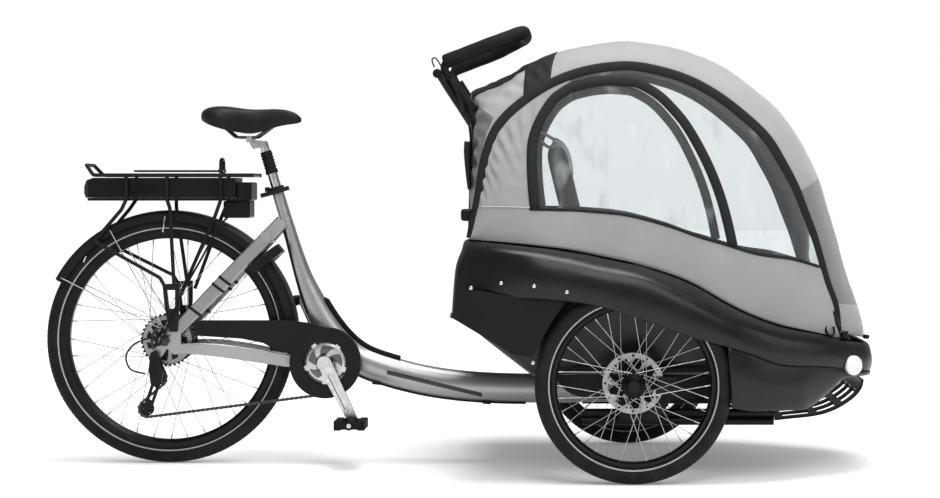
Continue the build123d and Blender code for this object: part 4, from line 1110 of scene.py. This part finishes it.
def hood_fittings():
    """Front bracket, hook loop, buckles and toggle on each side, and the pocket behind."""
    for side, word in ((-1, "right"), (1, "left")):
        skin = side * 222
        plate = [point(1790, skin, 425), point(1796, skin, 408), point(1801, skin * 0.98, 388)]
        hose(f"hoop_bracket_{word}", plate, 0.009, black_coat, "cabin")
        rivet = [point(1795, skin + side * 8, 413), point(1795, skin + side * 12, 413)]
        hose(f"hoop_rivet_{word}", rivet, 0.004, polished_alloy, "cabin")
        loop = [point(1771, side * 243, 395), point(1768, side * 250, 378), point(1778, side * 250, 364),
                point(1790, side * 244, 368), point(1790, side * 238, 386)]
        hose(f"hook_loop_{word}", loop, 0.003, black_rubber, "cabin")
        low = point(1814, min(side * 208, side * 222), 352)
        high = point(1831, max(side * 208, side * 222), 374)
        soft_block(f"hood_buckle_{word}", low, high, case_plastic, "cabin")
        toggle = [point(1885, side * 132, 353), point(1892, side * 146, 353)]
        hose(f"hood_toggle_{word}", toggle, 0.006, case_plastic, "cabin")
    line = [point(838, 0, 744), point(834, 0, 790), point(831, 0, 840), point(833, 0, 870)]
    rings = sweep_rings(even_line(line, 30), lambda t: oval(0.238, 0.005 + 0.008 * t ** 0.6, 48))
    squared = [[Vector((v.x, max(-0.236, min(0.236, v.y * 1.15)), v.z)) for v in ring] for ring in rings]
    capped(squared, "rear_pocket", binding, "cabin")
    low, high = point(818, -262, 662), point(850, -235, 694)
    soft_block("rear_buckle", low, high, case_plastic, "cabin")


# Cables, straps and clips -----------------------------------------------------------------

def surface_of(node):
    """Search tree of a CAD node's mesh, in the frame."""
    mesh = nodes[node].data
    place = nodes[node].matrix_world
    verts = [place @ v.co for v in mesh.vertices]
    return BVHTree.FromPolygons(verts, [tuple(face.vertices) for face in mesh.polygons])


def cables():
    """Brake, shift and motor cables with their clips and ties."""
    frame_skin = surface_of("main_frame")
    line = []
    for x in range(470, 1000, 30):
        found = frame_skin.ray_cast(point(x, -12, 0), Vector((0, 0, 1)), 0.7)[0]
        if found:
            line.append(found - Vector((0, 0, 0.0035)))
    hose("beam_cable", line, 0.0028, cable_black, "rear_frame")
    for index, x in enumerate((572, 873)):
        found = frame_skin.ray_cast(point(x, -12, 0), Vector((0, 0, 1)), 0.7)[0]
        if found:
            clip = [found + Vector((-0.011, 0, -0.003)), found + Vector((0.011, 0, -0.005))]
            hose(f"beam_clip_{index + 1}", clip, 0.0055, case_plastic, "rear_frame")
    motor = [point(175, -36, 672), point(150, -58, 640), point(110, -80, 560), point(62, -92, 470),
             point(30, -93, 400), point(8, -93, 345), point(-4, -92, 325)]
    hose("motor_cable", motor, 0.003, cable_black, "rear_frame")
    shift = [point(24, -92, 350), point(-26, -94, 346), point(-70, -95, 328), point(-90, -95, 296),
             point(-78, -94, 262), point(-40, -92, 250)]
    hose("shift_cable", shift, 0.0024, cable_black, "rear_frame")
    for side, word in ((-1, "right"), (1, "left")):
        for index, (back, out) in enumerate(((0, 14), (9, 9), (-9, 10))):
            y = side * (160 + out)
            run = [point(772, y, 1056), point(796 + back, y, 1008), point(838 + back, y, 938),
                   point(851 + back, y, 840), point(858 + back, y, 740), point(862 + back, y, 655)]
            hose(f"bar_cable_{word}_{index + 1}", run, 0.0028, cable_black, "cabin")
        for index, (shift, thick) in enumerate(((-9, 0.011), (17, 0.012))):
            cluster = [point(768 + shift, side * 169, 1046), point(793 + shift, side * 169, 1006),
                       point(822 + shift, side * 167, 962), point(845 + shift * 0.6, side * 165, 920)]
            hose(f"lever_clamp_{word}_{index + 1}", cluster, thick, black_coat, "cabin",
                 sides=20)
        for index, z in enumerate((960, 800)):
            x = 840 if z > 900 else 855
            tie = [point(x, side * 166, z - 5), point(x, side * 166, z + 5)]
            hose(f"bar_tie_{word}_{index + 1}", tie, 0.0195, black_rubber, "cabin", sides=20)
        curl = [point(764, side * 182, 1066), point(748, side * 184, 1090), point(738, side * 184, 1086),
                point(744, side * 182, 1066)]
        hose(f"lever_cable_{word}", curl, 0.002, cable_black, "cabin")


def stay_ties():
    """Black bands strapped round each seat stay, sized to the stay by measuring across it."""
    frame_skin = surface_of("main_frame")
    along = (point(164, 0, 509) - point(92, 0, 415)).normalized()
    across = Vector((-along.z, 0, along.x))
    half_length = along * 0.0035
    for index, (x, z) in enumerate(((160, 504), (144, 484), (92, 415))):
        for side, word in ((-1, "right"), (1, "left")):
            outward = Vector((0, side, 0))
            start = point(x, 0, z)
            outer = frame_skin.ray_cast(start + outward * 0.3, -outward, 0.3)[0]
            inner = frame_skin.ray_cast(start + outward * 0.032, outward, 0.3)[0]
            if outer is None or inner is None:
                continue
            middle = (outer + inner) / 2
            top = frame_skin.ray_cast(middle + across * 0.06, -across, 0.06)[0]
            bottom = frame_skin.ray_cast(middle - across * 0.06, across, 0.06)[0]
            if top is None or bottom is None:
                continue
            centre = (top + bottom) / 2
            wide = abs(outer.y - inner.y) / 2 + 0.0012
            tall = (top - bottom).length / 2 + 0.0012
            shape = [(wide * squarish(cos(2 * pi * k / 32)), tall * squarish(sin(2 * pi * k / 32)))
                     for k in range(32)]
            rings = sweep_rings([centre - half_length, centre + half_length], lambda t: shape)
            capped(rings, f"stay_tie_{word}_{index + 1}", black_rubber, "rear_frame")


def squarish(value):
    """Pushes a cosine or sine toward the corners of a rounded square."""
    return abs(value) ** 0.4 * (1 if value >= 0 else -1)


def chainring_cover():
    """Dished steel disc with a stepped edge, behind the right crank's arms."""
    centre = CRANK_AXLE
    profile = [(0.016, -0.0600), (0.030, -0.0612), (0.044, -0.0604), (0.0575, -0.0585), (0.0582, -0.0572),
               (0.044, -0.0588), (0.030, -0.0596), (0.016, -0.0584)]
    around = 96
    outboard = 0.003
    turns = [2 * pi * k / around for k in range(around)]
    rings = []
    for r, y in profile:
        side = y - outboard
        rings.append([Vector((centre.x + r * cos(turn), side, centre.z + r * sin(turn))) for turn in turns])
    verts = [v for ring in rings for v in ring]
    faces = grid_faces(len(rings), around, wrap_rows=True, wrap_columns=True)
    build("chainring_disc", verts, faces, ring_steel, "crankset")


def straps_and_clips():
    """Seat-tube guard band, fender clips and the child seat's harness and head pad."""
    frame_skin = surface_of("main_frame")
    line = even_line([point(322, 0, 645), point(352, 0, 520), point(387, 0, 408)], 30)
    halves = []
    for here in line:
        found = frame_skin.ray_cast(here - Vector((0, 0.3, 0)), Vector((0, 1, 0)), 0.3)[0]
        halves.append(0.0015 - found.y if found else 0.012)
    rings = sweep_rings(line, lambda t: oval(halves[round(t * 29)], 0.007, 24))
    capped(rings, "seat_tube_guard", black_rubber, "rear_frame")
    for index, (x, z0, z1) in enumerate(((-1, 629, 672), (-216, 548, 562))):
        clip = [point(x - 3, -37, z0), point(x, -38, (z0 + z1) / 2), point(x + 2, -34, z1)]
        hose(f"fender_clip_{index + 1}", clip, 0.0028, polished_alloy, "rear_frame")
    head = [point(1066, -112, 874), point(1078, -113, 846), point(1090, -113, 800), point(1100, -112, 770)]
    rings = sweep_rings(even_line(head, 30), lambda t: oval(0.008, 0.006 + 0.015 * sqrt(sin(pi * t)), 20))
    capped(rings, "head_wing", seat_light, "cabin")
    loop = [point(1014, -60, 904), point(1036, -64, 892), point(1058, -68, 876), point(1046, -66, 858),
            point(1022, -62, 874)]
    hose("harness_loop", loop, 0.0045, piping_white, "cabin")
    for side, word in ((-1, "right"), (1, "left")):
        strap = [point(1052, side * 45, 884), point(1078, side * 48, 868), point(1092, side * 52, 780),
                 point(1118, side * 60, 680), point(1150, side * 64, 600)]
        rings = sweep_rings(even_line(strap, 50), lambda t: oval(0.013, 0.0018, 12))
        capped(rings, f"harness_strap_{word}", binding, "cabin")


# Saddle, seat and grips ----------------------------------------------------------------

SADDLE_STATIONS = [
    # station, half width, top height, edge height
    (98, 30, 950, 936), (104, 62, 958, 930), (118, 84, 966, 922), (142, 93, 971, 912), (170, 88, 971, 904),
    (200, 66, 967, 897), (230, 44, 963, 896), (262, 31, 963, 904), (300, 25, 965, 917), (335, 22, 961, 922),
    (355, 18, 951, 924), (367, 8, 938, 929),
]


def saddle():
    """Closed padded shell: crowned top, soft shoulders and a skirt that tucks in."""
    rings = []
    for x, half, top, edge in SADDLE_STATIONS:
        tall = top - edge
        dip = 4 if 120 < x < 280 else 1.5
        profile = [(0, top - dip), (0.35, top - dip * 0.4), (0.62, top), (0.86, top - tall * 0.14),
                   (0.99, top - tall * 0.4), (1.0, top - tall * 0.68), (0.93, edge + 2), (0.86, edge),
                   (0.7, edge + 6), (0.35, edge + 9), (0, edge + 10)]
        right = [point(x, -half * share, z) for share, z in profile]
        left = [point(x, half * share, z) for share, z in reversed(profile[1:-1])]
        rings.append(right + left)
    made = capped(rings, "saddle_cover", saddle_skin, "saddle")
    modify(made, "SUBSURF", levels=3, render_levels=3)
    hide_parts("saddle")


def boot():
    """Rubber bellows round the sprung part of the seatpost."""
    angle = radians(73.4)
    axis = Vector((-cos(angle), 0, sin(angle)))
    base = point(301, 0, 740) + axis * 0.050
    length = 0.062
    inner_radius = 0.0148
    collar_height = 0.0022
    collar_share = 0.16
    fold_depth = 0.0018
    folds = 7
    steps = 66
    around = 28
    side = Vector((0, 1, 0))
    up = axis.cross(side)
    rings = []
    for i in range(steps + 1):
        share = i / steps
        fold = fold_depth * (0.5 + 0.5 * cos(2 * pi * share * folds))
        radius = inner_radius + (fold if collar_share < share else collar_height)
        centre = base + axis * (length * share)
        turns = [2 * pi * k / around for k in range(around)]
        rings.append([centre + side * (radius * cos(turn)) + up * (radius * sin(turn)) for turn in turns])
    made = capped(rings, "seatpost_bellows", black_rubber, "seatpost")
    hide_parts("seatpost_boot")
    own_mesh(made)


def foam_grip():
    """Thick foam sleeve round the front of the handlebar bow."""
    share = 0.05
    corner = [(760, -165, 1078), (900, -165, 1132), (975, -95, 1166), (975, 95, 1166), (900, 165, 1132),
              (760, 165, 1078)]
    points = [point(*p) for p in corner]
    points[0] = points[0].lerp(points[1], share)
    points[-1] = points[-1].lerp(points[-2], share)
    line = rounded_line(points, 0.03, 10)
    spaced = []
    for a, b in zip(line, line[1:]):
        steps = max(1, ceil((b - a).length / 0.006))
        spaced.extend(a.lerp(b, k / steps) for k in range(steps))
    spaced.append(line[-1])
    total = len(spaced) - 1

    def section(t):
        end = min(t, 1 - t) * total * 0.006
        radius = 0.0192 if end > 0.006 else 0.0192 - 0.005 * (1 - sqrt(max(0, 1 - (1 - end / 0.006) ** 2)))
        radius *= 1 + 0.02 * sin(t * 61) * sin(t * 23)
        return round_section(radius, 24)

    made = capped(sweep_rings(spaced, section), "handlebar_foam_sleeve", foam_rubber, "cabin")
    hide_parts("handlebar_foam")


def pad(name, low, high, swell, material, body, node, lean=0.0):
    """A sewn cushion: a rounded block, puffed by cloth simulation, then channelled."""
    size = high - low
    work = bmesh.new()
    bmesh.ops.create_cube(work, size=1.0)
    bmesh.ops.subdivide_edges(work, edges=work.edges, cuts=10, use_grid_fill=True)
    for v in work.verts:
        v.co = Vector((v.co.x * size.x, v.co.y * size.y, v.co.z * size.z)) * 0.94
    mesh = bpy.data.meshes.new(name)
    work.to_mesh(mesh)
    work.free()
    made = bpy.data.objects.new(name, mesh)
    bpy.context.scene.collection.objects.link(made)
    mesh.materials.append(material)
    bpy.context.view_layer.objects.active = made
    made.select_set(True)
    modify(made, "BEVEL", width=0.012, segments=3)
    modify(made, "REMESH", mode="VOXEL", voxel_size=0.008)
    before = [v.co.copy() for v in made.data.vertices]
    cloth_mod = made.modifiers.new("cloth", "CLOTH")
    cloth_mod.settings.use_pressure = True
    cloth_mod.settings.uniform_pressure_force = 4
    cloth_mod.settings.effector_weights.gravity = 0
    for step in range(1, 21):
        bpy.context.scene.frame_set(step)
    bpy.context.view_layer.objects.active = made
    bpy.ops.object.modifier_apply(modifier=cloth_mod.name)
    bpy.context.scene.frame_set(1)
    for v, start in zip(made.data.vertices, before):
        move = v.co - start
        if move.length > swell:
            v.co = start + move.normalized() * swell
    centre = (low + high) / 2
    for v in made.data.vertices:
        u = v.co.y / size.y
        channel = min(abs(u - c) for c in (-0.25, 0.0, 0.25))
        thin = 1 - 0.12 * max(0.0, 1 - channel / 0.03)
        v.co.z *= thin
    made.data.transform(Matrix.Rotation(lean, 4, "Y"))
    made.data.transform(Matrix.Translation(centre))
    modify(made, "SUBSURF", levels=1, render_levels=1)
    made.data.shade_smooth()
    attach(made, body)
    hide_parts(node)
    return made


def seat():
    low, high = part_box("seat_cushion")
    pad("bench_cushion", low, high, 0.008, seat_cloth, "cabin", "seat_cushion")
    low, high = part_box("seat_back")
    lean = atan2(0.078, 0.32)
    tall = 0.325
    thick = 0.04
    middle = (low + high) / 2
    half = Vector((tall / 2, (high.y - low.y) / 2, thick / 2))
    pad("seat_back_pad", middle - half, middle + half, 0.008, seat_cloth, "cabin", "seat_back",
        pi / 2 - lean)


# Chain -------------------------------------------------------------------------------

PITCH = 0.0127
CHAIN_Y = -0.0606


def pitch_radius(teeth):
    return PITCH / (2 * sin(pi / teeth))


def chain_path():
    """Evenly spaced pin places round the sprocket, chainring and both pulleys."""
    wheels = [
        (pivot("cassette_spin"), pitch_radius(19), 1), (pivot("crank_spin"), pitch_radius(42), 1),
        (pivot("tension_pulley_spin"), pitch_radius(11), 1),
        (pivot("guide_pulley_spin"), pitch_radius(11), -1),
    ]
    ends = []
    for index, (a, ra, sa) in enumerate(wheels):
        b, rb, sb = wheels[(index + 1) % 4]
        heading = atan2(b.z - a.z, b.x - a.x)
        tilt = acos((sa * ra - sb * rb) / hypot(b.x - a.x, b.z - a.z))
        normal = Vector((cos(heading + tilt), 0, sin(heading + tilt)))
        ends.append((a + normal * sa * ra, b + normal * sb * rb))
    dense = []
    for index, (centre, radius, sense) in enumerate(wheels):
        arrive = ends[index - 1][1]
        leave = ends[index][0]
        a0 = atan2(arrive.z - centre.z, arrive.x - centre.x)
        a1 = atan2(leave.z - centre.z, leave.x - centre.x)
        turn = (a1 - a0) % (2 * pi)
        if sense > 0:
            turn -= 2 * pi
        steps = 60
        for k in range(steps):
            angle = a0 + turn * k / steps
            dense.append(Vector((centre.x + radius * cos(angle), CHAIN_Y, centre.z + radius * sin(angle))))
        start, end = ends[index]
        for k in range(120):
            here = start.lerp(end, k / 120)
            dense.append(Vector((here.x, CHAIN_Y, here.z)))
    dense.append(dense[0])
    total = sum((b - a).length for a, b in zip(dense, dense[1:]))
    count = 2 * round(total / PITCH / 2)
    lengths = [0.0]
    for a, b in zip(dense, dense[1:]):
        lengths.append(lengths[-1] + (b - a).length)
    pins = []
    index = 0
    for k in range(count):
        target = total * k / count
        while lengths[index + 1] < target:
            index += 1
        f = (target - lengths[index]) / (lengths[index + 1] - lengths[index])
        pins.append(dense[index].lerp(dense[index + 1], f))
    return pins


def side_faces(first, count):
    """Quads between two equal rings stored one after the other."""
    return [(first + k, first + (k + 1) % count, first + count + (k + 1) % count, first + count + k)
            for k in range(count)]


def chain():
    """Side plates and rollers, link by link."""
    pins = chain_path()
    sides = 10
    verts = []
    faces = []
    waist = [(0.0, 0.0042), (0.25, 0.0036), (0.5, 0.0028), (0.75, 0.0036), (1.0, 0.0042)]
    for index, start in enumerate(pins):
        end = pins[(index + 1) % len(pins)]
        along = end - start
        up = Vector((-along.z, 0, along.x)).normalized()
        outer = index % 2
        gap = 0.0031 if outer else 0.0020
        rear_end = [(-0.34, 0.0), (-0.28, 0.0028)]
        loop = [(t, h) for t, h in waist] + [(1.28, 0.0028), (1.34, 0.0), (1.28, -0.0028)]
        loop += [(t, -h) for t, h in reversed(waist)] + [(-0.28, -0.0028)] + rear_end
        for y in (gap, -gap - 0.001):
            first = len(verts)
            for layer in (0.0, 0.001):
                verts.extend(start + along * t + up * h + Vector((0, y + layer, 0)) for t, h in loop)
            n = len(loop)
            faces.append(tuple(first + k for k in range(n)))
            faces.append(tuple(first + n + k for k in reversed(range(n))))
            faces.extend(side_faces(first, n))
        first = len(verts)
        for y in (-0.002, 0.002):
            verts.extend(start + Vector((a, y, b)) for a, b in round_section(0.0038, sides))
        faces.extend(side_faces(first, sides))
        faces.append(tuple(first + k for k in range(sides)))
        faces.append(tuple(first + sides + k for k in reversed(range(sides))))
    made = build("roller_chain", verts, faces, chain_steel, "rear_frame", smooth=False)
    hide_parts("drive_chain")


# Scene -------------------------------------------------------------------------------

def stage():
    """Pale floor, soft light all round and the camera at the reference angle."""
    floor_material = Shader("floor_pale", (0.9, 0.9, 0.9), 0.8)
    floor_material.vary(2, 0.01)
    x = floor_material.axis("X")
    y = floor_material.axis("Y")
    x_squared = floor_material.math("MULTIPLY", x, x)
    y_squared = floor_material.math("MULTIPLY", y, y)
    squares = floor_material.math("ADD", x_squared, y_squared)
    far = floor_material.span(floor_material.math("SQRT", squares), 0.6, 4.5, 0.17, 0.8)
    floor_material.link(far, floor_material.bsdf.inputs["Emission Strength"])
    floor_material.set(Specular_IOR_Level=0.0, Emission_Color=(1, 1, 1, 1))
    bpy.ops.mesh.primitive_plane_add(size=60, location=(0, 0, -0.0005))
    ground = bpy.context.object
    ground.name = "floor"
    ground.data.materials.append(floor_material.material)
    world = bpy.data.worlds.new("studio")
    bpy.context.scene.world = world
    bpy.context.scene.view_settings.view_transform = "Standard"
    world.use_nodes = True
    background = world.node_tree.nodes["Background"]
    background.inputs["Color"].default_value = (1, 1, 1, 1)
    seen = world.node_tree.nodes.new("ShaderNodeLightPath")
    strength = world.node_tree.nodes.new("ShaderNodeMapRange")
    strength.inputs["To Min"].default_value = 0.34
    strength.inputs["To Max"].default_value = 1.0
    world.node_tree.links.new(seen.outputs["Is Camera Ray"], strength.inputs["Value"])
    world.node_tree.links.new(strength.outputs["Result"], background.inputs["Strength"])
    lights = [("key", (1.2, -3.6, 3.6), 110, 2.6), ("top", (0.5, -0.4, 4.2), 190, 2.6),
              ("front", (4.6, -2.0, 1.8), 24, 2.0)]
    for name, place, power, size in lights:
        lamp = bpy.data.lights.new(name, "AREA")
        lamp.energy = power
        lamp.size = size
        lit = bpy.data.objects.new(name, lamp)
        lit.location = place
        lit.rotation_euler = (Vector((0, 0, 0.5)) - Vector(place)).to_track_quat("-Z", "Y").to_euler()
        bpy.context.scene.collection.objects.link(lit)
    camera_data = bpy.data.cameras.new("camera")
    camera_data.lens = 74
    camera = bpy.data.objects.new("camera", camera_data)
    camera.location = (0.355, -5.278, 0.743)
    camera.rotation_euler = (pi / 2, 0, 0)
    camera_data.shift_x = -0.1255
    camera_data.shift_y = -0.0628
    bpy.context.scene.collection.objects.link(camera)
    bpy.context.scene.camera = camera


dress_cad_nodes()
tyres()
tub()
under_tub()
hood()
hood_fittings()
cables()
stay_ties()
straps_and_clips()
chainring_cover()
saddle()
boot()
foam_grip()
seat()
chain()
stage()
